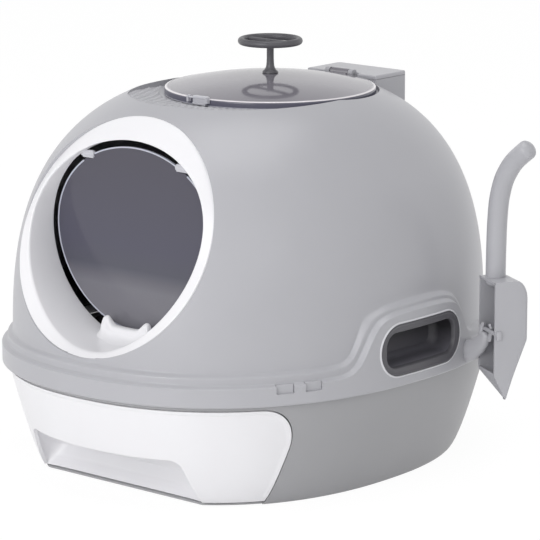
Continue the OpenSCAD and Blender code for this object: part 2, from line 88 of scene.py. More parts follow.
# Filter box, hinge and scoop
BOX_A, BOX_Y0, BOX_Y1, BOX_TOP, NOTCH_A, NOTCH_Y = 48, 151, 206, 392.5, 22, 157
HINGE_Y, HINGE_Z = 150, 392.5
SCOOP_Y, BOWL_C, BOWL_TURN, BOWL_TOP = 94, (267.3, 93), math.radians(60), 210
# The bowl in its own axes: half width, half depth, wall, the bar across its opening, and its bends
BOWL_A, BOWL_D, BOWL_WALL, BAR_X = 21, 19, 2.2, -16.6
BOWL_TIP_Z, BOWL_TIP_X, BOWL_LIP_Z, BOWL_BEND_Z, BOWL_ROUND_Z = 85, -6, 111, 147, 190
HORN_Y, HORN_FLAT, GRIP_R = 82, 0.62, 10.5


# Shape helpers


def power(c, e):
    """The sign of c times its size to the power e."""
    return np.sign(c) * np.abs(c) ** e


def soft_step(x):
    """0 below 0, 1 above 1, and 3x^2 - 2x^3 between."""
    x = np.clip(x, 0, 1)
    return x * x * (3 - 2 * x)


def oval(a, b, n, t):
    """Superellipse: x = a cos(t)^(2/n), y = b sin(t)^(2/n), signs kept."""
    return a * power(np.cos(t), 2 / n), b * power(np.sin(t), 2 / n)


def even_turn(count, a=DOME_A + RIM_OUT, b=DOME_B + RIM_OUT, n=DOME_N):
    """Angles, from 0 to a full turn, that are evenly spaced along the superellipse's length."""
    t = np.linspace(0, TAU, 7201)
    x, y = oval(a, b, n, t)
    length = np.concatenate([[0], np.cumsum(np.hypot(np.diff(x), np.diff(y)))])
    return np.interp(np.linspace(0, length[-1], count + 1), length, t)


def points(x, y, z):
    """Stacks three arrays, spread to one shape, into points."""
    return np.stack(np.broadcast_arrays(x, y, z), axis=-1).astype(float)


def grid_faces(rows, cols, around=True, over=False):
    """Quads of a grid of points: around closes the columns and over closes the rows."""
    j, i = np.meshgrid(np.arange(rows - (not over)), np.arange(cols - (not around)), indexing="ij")
    up, on = (j + 1) % rows, (i + 1) % cols
    return np.stack([j * cols + i, j * cols + on, up * cols + on, up * cols + i], -1).reshape(-1, 4)


def loft(rings, foot=None, top=None, over=False):
    """Skin through rings of points; foot and top are points that close its ends with fans."""
    rings = np.asarray(rings, float)
    rows, cols = rings.shape[:2]
    pts, faces = [rings.reshape(-1, 3)], [grid_faces(rows, cols, over=over)]
    i = np.arange(cols)
    on = (i + 1) % cols
    last = rows * cols
    if foot is not None:
        pts.append([foot])
        faces.append(np.stack([np.full(cols, last), on, i], -1))
        last += 1
    if top is not None:
        pts.append([top])
        faces.append(np.stack([np.full(cols, last), (rows - 1) * cols + i, (rows - 1) * cols + on], -1))
    return np.concatenate(pts), faces


def revolve(profile, x=0, y=0, count=120):
    """Turns (radius, height) points about an upright axis; a radius of 0 becomes a pole."""
    profile = np.asarray(profile, float)
    foot = (x, y, profile[0, 1]) if profile[0, 0] == 0 else None
    top = (x, y, profile[-1, 1]) if profile[-1, 0] == 0 else None
    inner = profile[1 if foot else 0: -1 if top else None]
    t = np.linspace(0, TAU, count, endpoint=False)
    rings = points(x + inner[:, :1] * np.cos(t), y + inner[:, :1] * np.sin(t), inner[:, 1:])
    return loft(rings, foot, top)


def hoop(section, y, count=180):
    """A closed ring about the upright axis through (0, y); section is a loop of (radius, height) points."""
    section = np.asarray(section, float)
    t = np.linspace(0, TAU, count, endpoint=False)
    return loft(points(section[:, :1] * np.cos(t), y + section[:, :1] * np.sin(t), section[:, 1:]), over=True)


def arc(x, z, r, start, end, count=6):
    """Points of a circle's arc about (x, z), from start to end in degrees."""
    a = np.radians(np.linspace(start, end, count))
    return np.stack([x + r * np.cos(a), z + r * np.sin(a)], -1)


def rounded(corners, reach, count=5, closed=True):
    """Replaces each corner of a line of curves by a quadratic Bezier that starts at its reach from it."""
    corners = np.asarray(corners, float)
    out = []
    for i, c in enumerate(corners):
        r = reach[i] if np.iterable(reach) else reach
        if r == 0 or (not closed and i in (0, len(corners) - 1)):
            out.append(c[None])
            continue
        a, b = corners[i - 1], corners[(i + 1) % len(corners)]
        la = np.linalg.norm(a - c, axis=-1, keepdims=True)
        lb = np.linalg.norm(b - c, axis=-1, keepdims=True)
        p = c + (a - c) * np.minimum(r / np.maximum(la, 1e-6), 0.48)
        q = c + (b - c) * np.minimum(r / np.maximum(lb, 1e-6), 0.48)
        w = np.linspace(0, 1, count).reshape((-1,) + (1,) * p.ndim)
        out.append((1 - w) ** 2 * p + 2 * w * (1 - w) * c + w ** 2 * q)
    return np.concatenate(out)


def spread(corners, steps):
    """Adds evenly spaced rows between each pair of rows; steps is the number of gaps for each pair."""
    out = []
    for a, b, n in zip(corners[:-1], corners[1:], steps):
        w = np.linspace(0, 1, n, endpoint=False).reshape((-1,) + (1,) * a.ndim)
        out.append(a + (b - a) * w)
    return np.concatenate(out + [corners[-1][None]])


def trim(place, u, v, keep, around=False):
    """Cuts the sheet place(u, v) along keep = 0 and keeps the side where it is positive.

    Cells wholly inside stay quads. A cell on the line is two triangles, each clipped at the points where
    keep is zero along its edges, found by halving. Returns points, their (u, v) and the faces.
    """
    uu, vv = np.meshgrid(u, v)
    cols = len(u) - around
    rows = len(v)
    uv = np.stack([uu, vv], -1)
    f = keep(place(uu, vv))
    gv, gu = np.gradient(f)
    near = np.abs(f) < 0.2 * np.hypot(gu, gv)
    near[[0, -1], :] = False
    scale = -f / np.maximum(gu ** 2 + gv ** 2, 1e-12)
    uv[..., 0] += np.where(near, scale * gu * np.gradient(uu, axis=1), 0)
    uv[..., 1] += np.where(near, scale * gv * np.gradient(vv, axis=0), 0)
    f = np.where(near, 0, f)
    if around:
        uv[:, -1] = uv[:, 0] + [u[-1] - u[0], 0]
        f[:, -1] = f[:, 0]
    j, i = np.meshgrid(np.arange(rows - 1), np.arange(len(u) - 1), indexing="ij")
    cell = np.stack([np.stack([j, i], -1), np.stack([j, i + 1], -1), np.stack([j + 1, i + 1], -1),
                     np.stack([j + 1, i], -1)], -2).reshape(-1, 4, 2)
    level = f[cell[..., 0], cell[..., 1]]
    number = cell[..., 0] * cols + cell[..., 1] % cols
    whole = (level >= 0).all(1) & (level > 0).any(1)
    mixed = ~whole & (level > 0).any(1)
    quads = number[whole]
    half = np.concatenate([cell[mixed][:, [0, 1, 2]], cell[mixed][:, [0, 2, 3]]])
    f3 = f[half[..., 0], half[..., 1]]
    half = half[(f3 > 0).any(1)]
    f3 = f[half[..., 0], half[..., 1]]
    n3 = half[..., 0] * cols + half[..., 1] % cols
    p3 = uv[half[..., 0], half[..., 1]]
    base = rows * cols
    slots = np.full((len(half), 6), -1)
    ends, keys = [], []
    for k in range(3):
        m = (k + 1) % 3
        slots[:, 2 * k] = np.where(f3[:, k] >= 0, n3[:, k], -1)
        cross = f3[:, k] * f3[:, m] < 0
        low = np.minimum(n3[:, k], n3[:, m])
        high = np.maximum(n3[:, k], n3[:, m])
        slots[cross, 2 * k + 1] = -2
        inside = f3[:, k] > 0
        a = np.where(inside[:, None], p3[:, k], p3[:, m])
        b = np.where(inside[:, None], p3[:, m], p3[:, k])
        ends.append(np.stack([a, b], 1)[cross])
        keys.append((low * base + high)[cross])
    _, first, place_of = np.unique(np.concatenate(keys), return_index=True, return_inverse=True)
    ab = np.concatenate(ends)[first]
    a, b = ab[:, 0], ab[:, 1]
    for _ in range(HALVINGS):
        middle = (a + b) / 2
        inside = keep(place(middle[:, 0], middle[:, 1])) > 0
        a = np.where(inside[:, None], middle, a)
        b = np.where(inside[:, None], b, middle)
    start = 0
    for k in range(3):
        cross = slots[:, 2 * k + 1] == -2
        count = cross.sum()
        slots[cross, 2 * k + 1] = base + place_of[start:start + count]
        start += count
    order = np.argsort(slots < 0, axis=1, kind="stable")
    slots = np.take_along_axis(slots, order, 1)
    size = (slots >= 0).sum(1)
    faces = [quads, slots[size == 3][:, :3], slots[size == 4][:, :4]]
    uv = np.concatenate([uv[:, :cols].reshape(-1, 2), a])
    used = np.unique(np.concatenate([x.ravel() for x in faces]))
    renumber = np.zeros(len(uv), int)
    renumber[used] = np.arange(len(used))
    uv = uv[used]
    return place(uv[:, 0], uv[:, 1]), uv, [renumber[x] for x in faces]


def open_edges(faces):
    """Directed edges that belong to one face only."""
    edges = np.concatenate([np.stack([f, np.roll(f, -1, 1)], -1).reshape(-1, 2) for f in faces if len(f)])
    big = edges.max() + 1
    there = edges[:, 0] * big + edges[:, 1]
    back = edges[:, 1] * big + edges[:, 0]
    return edges[~np.isin(there, back)]


def outward(pts, faces):
    """Normal at each point: the sum of the crosses of its faces' diagonals."""
    normal = np.zeros_like(pts)
    for f in faces:
        if len(f):
            far = f[:, 3] if f.shape[1] == 4 else f[:, 0]
            cross = np.cross(pts[f[:, 2]] - pts[f[:, 0]], pts[far] - pts[f[:, 1]])
            for k in range(f.shape[1]):
                np.add.at(normal, f[:, k], cross)
    return normal / np.maximum(np.linalg.norm(normal, axis=1, keepdims=True), 1e-9)


def shell(outer, inner, faces):
    """Closes a sheet with its inner copy, and joins the two by a wall along each open edge."""
    count = len(outer)
    edge = open_edges(faces)
    wall = np.stack([edge[:, 1], edge[:, 0], edge[:, 0] + count, edge[:, 1] + count], -1)
    return np.concatenate([outer, inner]), faces + [f[:, ::-1] + count for f in faces] + [wall]


def joined(*parts):
    """Several (points, faces) pairs as one."""
    pts, faces, start = [], [], 0
    for p, f in parts:
        pts.append(p)
        faces += [x + start for x in f if len(x)]
        start += len(p)
    return np.concatenate(pts), faces


def turned(part):
    """The same surface with its faces the other way out."""
    return part[0], [f[:, ::-1] for f in part[1]]


def mirrored(part):
    """The same surface on the other side of the plane x = 0, still facing outwards."""
    return part[0] * [-1, 1, 1], [f[:, ::-1] for f in part[1]]


def slab(x0, x1, y0, y1, z0, z1, r=1.0):
    """A box with rounded edges: each point of its faces is drawn in to within r of the box shrunk by r."""
    spans = (x0, x1), (y0, y1), (z0, z1)
    cuts = [np.array([a, a + 0.3 * r, a + r, b - r, b - 0.3 * r, b]) for a, b in spans]
    parts = []
    for axis in range(3):
        for side in (0, 1):
            p, q = [k for k in range(3) if k != axis]
            g = np.zeros((6, 6, 3))
            g[..., p], g[..., q] = np.meshgrid(cuts[p], cuts[q])
            g[..., axis] = cuts[axis][-1 if side else 0]
            flip = (side == 1) == (axis == 1)
            f = grid_faces(6, 6, around=False)
            parts.append((g.reshape(-1, 3), [f[:, ::-1] if flip else f]))
    pts, faces = joined(*parts)
    low = np.array([x0, y0, z0]) + r
    high = np.array([x1, y1, z1]) - r
    core = np.clip(pts, low, high)
    off = pts - core
    length = np.maximum(np.linalg.norm(off, axis=1, keepdims=True), 1e-9)
    reach = np.abs(off).max(1, keepdims=True)
    return core + off / length * np.minimum(reach, r), faces


def tube(path, radius, y, count=28, round_ends=True):
    """A round bar along a path in an upright plane; its ends are closed by quarter-round caps."""
    path = np.asarray(path, float)
    radius = np.broadcast_to(radius, len(path)).astype(float)
    way = np.gradient(path, axis=0)
    way /= np.linalg.norm(way, axis=1, keepdims=True)
    if round_ends:
        turn = np.radians([80, 60, 40, 20])[:, None]
        foot = path[0] - way[0] * radius[0] * np.sin(turn) * 0.6
        head = path[-1] + way[-1] * radius[-1] * np.sin(turn[::-1]) * 0.6
        path = np.concatenate([foot, path, head])
        radius = np.concatenate([radius[0] * np.cos(turn[:, 0]), radius, radius[-1] * np.cos(turn[::-1, 0])])
        way = np.concatenate([np.repeat(way[:1], 4, 0), way, np.repeat(way[-1:], 4, 0)])
    t = np.linspace(0, TAU, count, endpoint=False)
    side = radius[:, None] * np.cos(t)
    x, z = path[:, :1] + side * way[:, 1:], path[:, 1:] - side * way[:, :1]
    rings = points(x, y + radius[:, None] * np.sin(t), z)
    ends = [(path[k, 0], y, path[k, 1]) for k in (0, -1)]
    return loft(rings, ends[0], ends[1])


# Materials


def linear(code):
    """sRGB hex to linear RGBA."""
    c = np.array([int(code[k:k + 2], 16) for k in (0, 2, 4)]) / 255
    c = np.where(c <= 0.04045, c / 12.92, ((c + 0.055) / 1.055) ** 2.4)
    return (*c, 1.0)


def node(tree, kind, links=(), **settings):
    """Adds a node; settings name its properties or input sockets, links join (socket, from) pairs."""
    n = tree.nodes.new(kind)
    for key, value in settings.items():
        name = key.replace("_", " ")
        if hasattr(n, key):
            setattr(n, key, value)
        else:
            n.inputs[int(key[1:]) if key[1:].isdigit() else name].default_value = value
    for socket, source in links:
        tree.links.new(source, n.inputs[socket])
    return n


def plastic(name, pale, deep, rough=0.38, grain=0.35, depth=0.02, patch=60, bands=(), **shader):
    """A moulded plastic: slow colour drift between two shades, and a fine grain in bump and gloss.

    grain is the size of the mould's texture in mm, drawn coarse enough to show, and patch that of the drift.
    bands are (height in mm, colour) pairs that take the place of the drift.
    """
    m = bpy.data.materials.new(name)
    m.use_nodes = True
    tree = m.node_tree
    tree.nodes.clear()
    where = node(tree, "ShaderNodeTexCoord").outputs["Object"]
    drift = node(tree, "ShaderNodeTexNoise", [("Vector", where)], Scale=1 / (patch * MM), Detail=2.0)
    fine = node(tree, "ShaderNodeTexNoise", [("Vector", where)], Scale=1 / (grain * MM), Detail=3.0)
    tint = node(tree, "ShaderNodeMix", [("Factor", drift.outputs["Fac"])], data_type="RGBA")
    tint.inputs["A"].default_value = linear(deep)
    tint.inputs["B"].default_value = linear(pale)
    gloss = node(tree, "ShaderNodeMapRange", [("Value", fine.outputs["Fac"])])
    gloss.inputs["To Min"].default_value = rough - 0.05
    gloss.inputs["To Max"].default_value = rough + 0.05
    bump = node(tree, "ShaderNodeBump", [("Height", fine.outputs["Fac"])], Strength=0.12, Distance=depth * MM)
    tint_out = next(s for s in tint.outputs if s.type == "RGBA")
    if bands:
        height = node(tree, "ShaderNodeSeparateXYZ", [("Vector", where)]).outputs["Z"]
        low, high = bands[0][0], bands[-1][0]
        share = node(tree, "ShaderNodeMapRange", [("Value", height)])
        share.inputs["From Min"].default_value = low * MM
        share.inputs["From Max"].default_value = high * MM
        ramp = node(tree, "ShaderNodeValToRGB", [("Fac", share.outputs["Result"])])
        for k, (z, code) in enumerate(bands):
            place = (z - low) / (high - low)
            stops = ramp.color_ramp.elements
            stop = stops[k] if k < 2 else stops.new(place)
            stop.position = place
            stop.color = linear(code)
        tint_out = ramp.outputs["Color"]
    surface = node(tree, "ShaderNodeBsdfPrincipled", [
        ("Base Color", tint_out), ("Roughness", gloss.outputs["Result"]), ("Normal", bump.outputs["Normal"])])
    for key, value in shader.items():
        surface.inputs[key.replace("_", " ")].default_value = value
    node(tree, "ShaderNodeOutputMaterial", [("Surface", surface.outputs["BSDF"])])
    return m


# Injection-moulded polypropylene, spark-eroded mould: a soft even sheen with no sparkle
grey_shell = plastic("moulded_polypropylene_grey", "b4b4b9", "b0b0b5", rough=0.34)
# The same plastic in the tub, a shade deeper: painted shade, as the tub sits under the hood's skirt and its
# walls slope in and down, away from the light
grey_tub_painted_shade = plastic("moulded_polypropylene_grey_painted_shade", "a6a6a9", "a2a2a5", rough=0.42)
# The grey plastic, made paler: a painted highlight on the thin raised bead round each hand grip
grey_painted_highlight = plastic("moulded_polypropylene_grey_painted_highlight", "d6d6da", "d0d0d5", rough=0.25)
# White polypropylene, polished mould: brighter and a little glossier
white_shell = plastic("moulded_polypropylene_white", "ededf0", "eae9ec", rough=0.3)
# Glass-filled nylon of the hand grips and the knob: charcoal, satin
dark_nylon = plastic("moulded_nylon_charcoal", "58575c", "525156", rough=0.4)
# The same nylon in the cups, darker: painted shade in the recess behind each grip. Its bands by height are
# painted light and shade, palest on the cup's lower wall and darkest under its top
cup_nylon_painted_shade_and_light = plastic("moulded_nylon_charcoal_cup_painted_shade_and_light", "37363b", "313035", rough=0.5,
                    bands=((132, "77767f"), (141, "5a5960"), (158, "2e2d31"), (172, "232226")))
# Smoked acrylic of the flap: dark and glossy. Its bands by height make it paler towards its foot: a painted
# reflection
smoked_acrylic_painted_reflection = plastic("cast_acrylic_smoked_painted_reflection", "62606b", "5c5a65", rough=0.12, grain=2, depth=0.001,
                         bands=((160, "7d7c83"), (205, "77767e"), (226, "545460"), (250, "525160"),
                                (350, "4f4d58")),
                         Alpha=0.93, IOR=1.49)
# Clear acrylic of the lid, colourless: its grey colour is painted shade, standing for the dim cabin seen
# through it
clear_lid_painted_shade = plastic("pressed_acrylic_clear_painted_shade", "85828b", "7f7c85", rough=0.1, grain=2, depth=0.001,
                    Alpha=0.9, IOR=2.7)
# The lid's rim, where the sheet is seen end on: dark grey, with pale bands by height at its foot and top
# edges that are painted highlights
rim_acrylic_painted_highlights = plastic("pressed_acrylic_edge_painted_highlights", "6a6a78", "6a6a78", rough=0.15, grain=2, depth=0.001,
                      bands=((384.4, "c4c3ca"), (385.3, "b4b4bd"), (385.8, "5c5c6b"), (391.2, "61606e"),
                             (391.6, "e9e5e8"), (392.2, "e9e5e8"), (392.45, "8f8c96")), IOR=1.5)
# Sawn edge of the flap's sheet: pale and bluish, a painted highlight where the edge carries the light
edge_painted_highlight = plastic("cast_acrylic_sawn_edge_painted_highlight", "bfc2ce", "b6b9c6", rough=0.35)
# Frosted polycarbonate of the small clips
clear_clip = plastic("moulded_polycarbonate_clear", "dcdce2", "d4d4dc", rough=0.18, Alpha=0.75, IOR=1.58)
# Vulcanised rubber of the feet
rubber = plastic("moulded_rubber_black", "3a3a3c", "323234", rough=0.7)
# Carbon-loaded felt of the filter
felt = plastic("needled_felt_carbon", "2c2c2e", "202022", rough=0.9, grain=0.8, depth=0.3)
# Zinc-plated steel of the knob's screw
zinc_steel = plastic("turned_steel_zinc", "b8b8ba", "a8a8aa", rough=0.3, Metallic=1.0)


def make(name, part, finish, body, *stands_for, slot="body_grey", crease=35):
    """Makes a piece from points in millimetres and faces, and sets what it rides on and stands for."""
    pts, faces = part
    faces = [np.asarray(f, int) for f in faces if len(f)]
    me = bpy.data.meshes.new(name)
    me.vertices.add(len(pts))
    me.vertices.foreach_set("co", (np.asarray(pts) * MM).astype(np.float32).ravel())
    sizes = np.concatenate([np.full(len(f), f.shape[1]) for f in faces])
    corners = np.concatenate([f.ravel() for f in faces])
    me.loops.add(len(corners))
    me.loops.foreach_set("vertex_index", corners.astype(np.int32))
    me.polygons.add(len(sizes))
    me.polygons.foreach_set("loop_start", np.concatenate([[0], np.cumsum(sizes)[:-1]]).astype(np.int32))
    me.polygons.foreach_set("use_smooth", np.ones(len(sizes), bool))
    me.update(calc_edges=True)
    me.validate()
    me.set_sharp_from_angle(angle=math.radians(crease))
    me.materials.append(finish)
    piece = bpy.data.objects.new(name, me)
    bpy.context.scene.collection.objects.link(piece)
    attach(piece, body)
    if stands_for:
        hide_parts(*stands_for)
    return piece


# Hood


def dome_share(z):
    """The dome's width at a height, as a share of its full width."""
    up = np.clip((z - DOME_Z0) / (DOME_TOP - DOME_Z0), 0, 1)
    return (1 - up ** DOME_M) ** (1 / DOME_M)


def dome_height(x, y):
    """The height of the dome's surface over (x, y)."""
    share = (np.abs(x / DOME_A) ** DOME_N + np.abs(y / DOME_B) ** DOME_N) ** (1 / DOME_N)
    return DOME_Z0 + (DOME_TOP - DOME_Z0) * (1 - np.minimum(share, 1) ** DOME_M) ** (1 / DOME_M)


def arch(y):
    """Share of the shoulder's rise over a side handle: a logistic step down at ARCH_HALF either side."""
    return 1 / (1 + np.exp((np.abs(y - ARCH_Y) - ARCH_HALF) / ARCH_SOFT))


def shoulder(t):
    """The shoulder's edge round the rim: its height, its slope vector's length and its share of the arch.

    The edge rises by (ARCH_RISE - ARCH_SAG y^2) arch(y) over each handle.
    """
    y = (DOME_B + RIM_OUT) * power(np.sin(t), 2 / DOME_N)
    rise = (ARCH_RISE - ARCH_SAG * y * y) * arch(y)
    slope = ARCH_RISE * arch(y) * (1 - arch(y)) / ARCH_SOFT
    return SHOULDER_Z + rise, np.sqrt(1 + slope ** 2), arch(y)


def hood_sheet(t, v, ledges=True):
    """The hood's surface. v runs 0 to 1 up the skirt, 1 to 2 over the shoulder and 2 to 3 up the dome.

    The dome's superellipse is moved outwards by an offset that falls from RIM_OUT to 0 in two small ledges.
    """
    edge, steep, side = shoulder(t)
    low, high = edge - 3 * steep, edge + 18 * steep
    dome = high + (CUT_TOP - high) * np.sin((v - 2) * math.pi / 2)
    z = np.where(v < 1, RIM_Z + (low - RIM_Z) * v, np.where(v < 2, low + (high - low) * (v - 1), dome))
    h = (z - edge) / steep
    gap = 9 - 3 * side
    if ledges:
        drawn = 0.52 * soft_step((h + 1) / 3.5) + 0.48 * soft_step((h - gap + 0.5) / 4.5)
    else:
        drawn = soft_step((h + 4) / 18)
    out = RIM_OUT * (1 - drawn) - 1.5 * np.clip(1 - (z - RIM_Z) / 1.5, 0, 1) ** 2
    share = 1 - (1 - dome_share(z)) * soft_step(h / 14)
    x, y = oval(DOME_A * share, DOME_B * share, DOME_N, t)
    nx = power(np.cos(t), 2 - 2 / DOME_N) / DOME_A
    ny = power(np.sin(t), 2 - 2 / DOME_N) / DOME_B
    size = np.hypot(nx, ny)
    return points(x + out * nx / size, y + out * ny / size, z)


def in_ring(p):
    """Distance from the entry ring's axis."""
    rise = (p[..., 1] - RING_Y) * math.sin(RING_LEAN) + (p[..., 2] - RING_Z) * math.cos(RING_LEAN)
    return np.hypot(p[..., 0], rise)


def step_gap(x, y):
    """Rough distance outside the outline of the dome's flat top."""
    share = dome_share(STEP_Z)
    a, b = DOME_A * share, DOME_B * share
    return (((np.abs(x) / a) ** DOME_N + (np.abs(y) / b) ** DOME_N) ** (1 / DOME_N) - 1) * a


def step_floor(x, y):
    """The step is a shallow dish: it rises from the lid's seat to the edge of the flat top."""
    return SEAT_Z + (STEP_Z - SEAT_Z) * (np.hypot(x, y - LID_Y) - SEAT_R) / STEP_RUN


def stadium(y, z, w, h):
    """Distance outside a stadium of half width w and half height h about the handle's middle."""
    return np.hypot(np.maximum(np.abs(y) - (w - h), 0), z - HANDLE_Z) - h


def rim_frame(t):
    """A point of the rim at angle t, and the direction along it there."""
    x, y = oval(RIM_A, RIM_B, RIM_N, t)
    x2, y2 = oval(RIM_A, RIM_B, RIM_N, t + 0.01)
    along = np.array([x2 - x, y2 - y]) / math.hypot(x2 - x, y2 - y)
    return np.array([x, y]), along


def hood_keep(p):
    """Positive where the hood's skin stays: outside its entry, seat, step, handle holes and tab windows."""
    x, y, z = p[..., 0], p[..., 1], p[..., 2]
    keep = np.where(y < 0, in_ring(p) - RING_R - 0.5, 50)
    top = z > 300
    keep = np.minimum(keep, np.where(top, np.hypot(x, y - LID_Y) - SEAT_R, 50))
    keep = np.minimum(keep, np.where(top, STEP_Z - z, 50))
    keep = np.minimum(keep, np.where(np.abs(x) > 180, stadium(y, z, BEZEL_W + 0.4, BEZEL_H + 0.4), 50))
    for t in TAB_ANGLES:
        middle, along = rim_frame(t)
        dx, dy = x - middle[0], y - middle[1]
        a = np.abs(dx * along[0] + dy * along[1]) - TAB_W / 2
        b = np.abs(z - TAB_Z - TAB_H / 2) - TAB_H / 2
        keep = np.where(np.hypot(dx, dy) < 40, np.minimum(keep, np.maximum(a, b)), keep)
    return keep


def build_hood():
    """The hood as one closed shell, its wall drawn inwards, and flat underneath round the roof opening."""
    t = even_turn(384)
    skirt = np.concatenate([[0, 0.02, 0.045, 0.075], np.linspace(0.11, 1, 12, endpoint=False)])
    v = np.concatenate([skirt, np.linspace(1, 2, 30, endpoint=False), np.linspace(2, 3, 60)])
    outer, uv, faces = trim(hood_sheet, t, v, hood_keep, around=True)
    plain = hood_sheet(uv[:, 0], uv[:, 1], ledges=False)
    inner = plain - WALL * outward(plain, faces)
    under = soft_step((outer[:, 2] - 368) / 14)[:, None]
    flat = np.stack([outer[:, 0], outer[:, 1], np.minimum(SEAT_Z - 3.6, outer[:, 2] - WALL)], -1)
    inner = inner * (1 - under) + flat * under
    inner[:, 2] = np.maximum(inner[:, 2], RIM_Z)
    return shell(outer, inner, faces)


def build_seat():
    """The annulus that the lid rests on, a closed band round the roof opening."""
    outer, foot = SEAT_R + 0.5, SEAT_Z - 3.5
    section = np.array([[outer, foot], [outer, SEAT_Z], [ROOF_R, SEAT_Z], [ROOF_R, foot]])
    return hoop(rounded(section, [0, 0, 1, 1])[::-1], LID_Y)


def build_step_pad():
    """The dished step in front of the lid, with staggered round studs for grip."""
    def place(u, v):
        return points(u, v, step_floor(u, v))

    def keep(p):
        x, y = p[..., 0], p[..., 1]
        edge = np.minimum(-step_gap(x, y) - 0.15, np.hypot(x, y - LID_Y) - SEAT_R - 0.3)
        pocket = np.maximum(np.abs(x) - CLIP_POCKET_A, CLIP_POCKET_Y - y)
        return np.minimum(edge, pocket)

    outer, _, faces = trim(place, np.arange(-116, 116.1, 0.85), np.arange(STUD_Y0, 60, 0.85), keep)
    x, y = outer[:, 0], outer[:, 1]
    row = np.round((y - STUD_Y0) / STUD_ROW)
    shift = np.where(row % 2 == 0, 0, STUD_PITCH / 2)
    dx = (x - shift + STUD_PITCH / 2) % STUD_PITCH - STUD_PITCH / 2
    dy = y - STUD_Y0 - row * STUD_ROW
    fade = soft_step((keep(outer) - 0.8) / 1.6) * soft_step((30 - y) / 40)
    outer[:, 2] += STUD_H * soft_step((STUD_R - np.hypot(dx, dy)) / 1.7) * fade
    inner = np.stack([outer[:, 0], outer[:, 1], np.full(len(outer), SEAT_Z - 3.5)], -1)
    return shell(outer, inner, faces)


make("hood_shell", build_hood(), grey_shell, "hood", "hood", crease=40)
make("roof_seat", build_seat(), grey_shell, "hood")
make("step_pad_grip", build_step_pad(), grey_shell, "hood", "step_pad", crease=50)


# Entry ring, tunnel, stop and flap


def egg(y, z, ax, av, k, lean, t):
    """An egg outline, wider above than below: x = ax cos(t) (1 + k sin(t)), rise = av sin(t), leant back."""
    return points(ax * np.cos(t) * (1 + k * np.sin(t)), y + av * np.sin(t) * math.sin(lean),
                  z + av * np.sin(t) * math.cos(lean))


def ring_circle(r, back, t):
    """A circle in the entry ring's leant plane, moved back along its axis."""
    return points(r * np.cos(t), RING_Y + r * np.sin(t) * math.sin(RING_LEAN) + back * math.cos(RING_LEAN),
                  RING_Z + r * np.sin(t) * math.cos(RING_LEAN) - back * math.sin(RING_LEAN))


def lip_egg(t):
    """The mouth of the tunnel, where the ring turns in: an egg leant back by LIP_LEAN."""
    return egg(-218.3, 257.1, 115.8, 108.7, 0.142, LIP_LEAN, t)


def rear_egg(t, grow=0.0):
    """The upright rear end of the tunnel, kept at least 8 mm behind its mouth."""
    p = egg(-184, 257, 113.5 + grow, 105 + grow, 0.05, 0, t)
    p[..., 1] = np.maximum(p[..., 1], lip_egg(t)[..., 1] + 8)
    return p


def build_ring():
    """Ring and tunnel as one closed band: its section is carried round the entry."""
    t = np.linspace(0, TAU, 288, endpoint=False)
    corners = np.stack([ring_circle(RING_R, 6, t), ring_circle(RING_R, -1.5, t), lip_egg(t), rear_egg(t),
                        rear_egg(t, 2.6)])
    section = rounded(corners, [0, 2.0, 3.5, 0.8, 0.8], count=6)
    gaps = [np.linalg.norm(b - a, axis=-1).max() for a, b in zip(section[:-1], section[1:])]
    return loft(spread(section, [3 if gap > 8 else 1 for gap in gaps]), over=True)


def build_stop():
    """The white saddle that stops the flap: a rolled lip between two horns, and an apron down to the tunnel.

    Its crest is SADDLE_Z + HORN_H exp(-((|x| - HORN_X) / HORN_W)^2), and falls away at both ends.
    """
    u = np.linspace(-1, 1, 49)
    x = u * SADDLE_A
    horn = np.exp(-((np.abs(x) - HORN_X) / HORN_W) ** 2)
    crest = SADDLE_Z + HORN_H * horn + 1.5 * u ** 2 - 14 * soft_step((np.abs(u) - 0.88) / 0.12)
    lean = 5 + 3 * (1 - horn)
    rows = [points(x, SADDLE_Y, 148),
            points(x, SADDLE_Y, crest - 3),
            points(x, SADDLE_Y - 1, crest),
            points(x, SADDLE_Y - lean, crest - 0.5),
            points(x, SADDLE_Y - lean - 2, crest - 4),
            points(x, SADDLE_Y - lean - 2.5, 158 + 4 * horn),
            points(x * 1.02, SADDLE_Y - 22, 153 + 1.5 * horn),
            points(x, SADDLE_Y - 38, 150.5),
            points(x * 0.97, SADDLE_Y - 54.5, 149),
            points(x * 0.97, SADDLE_Y - 54.5, 146)]
    section = rounded(np.stack(rows), [0, 2, 2, 3, 4, 8, 10, 8, 1, 0], count=5, closed=False)
    rows_n, cols = section.shape[:2]
    top = section.reshape(-1, 3)
    faces = [grid_faces(rows_n, cols, around=False)[:, ::-1]]
    under = top.copy()
    under[:, 2] = np.minimum(under[:, 2] - 0.5, 146)
    return shell(top, under, faces)


def build_flap():
    """The flap: a flat plate 2 mm thick with an egg outline, notched for its two knuckles.

    With h = (z - FLAP_Z) / FLAP_RISE and w = x / (FLAP_RUN (1 + FLAP_EGG h)), its outline is h^2 + w^2 = 1.
    """
    def place(u, v):
        return points(u, np.full(np.shape(u), FLAP_Y - 1.0), v)

    def keep(p):
        x, z = p[..., 0], p[..., 2]
        high = (z - FLAP_Z) / FLAP_RISE
        wide = x / (FLAP_RUN * (1 + FLAP_EGG * np.clip(high, -1, 1)))
        edge = (1 - np.hypot(high, wide)) * 98
        notch = np.maximum(np.abs(np.abs(x) - KNUCKLE_X - 4) - 8.3, 335 - z)
        return np.minimum(edge, notch)

    outer, _, faces = trim(place, np.linspace(-114, 114, 70), np.linspace(159, 356, 60), keep)
    return shell(outer, outer + [0, 2, 0], faces)


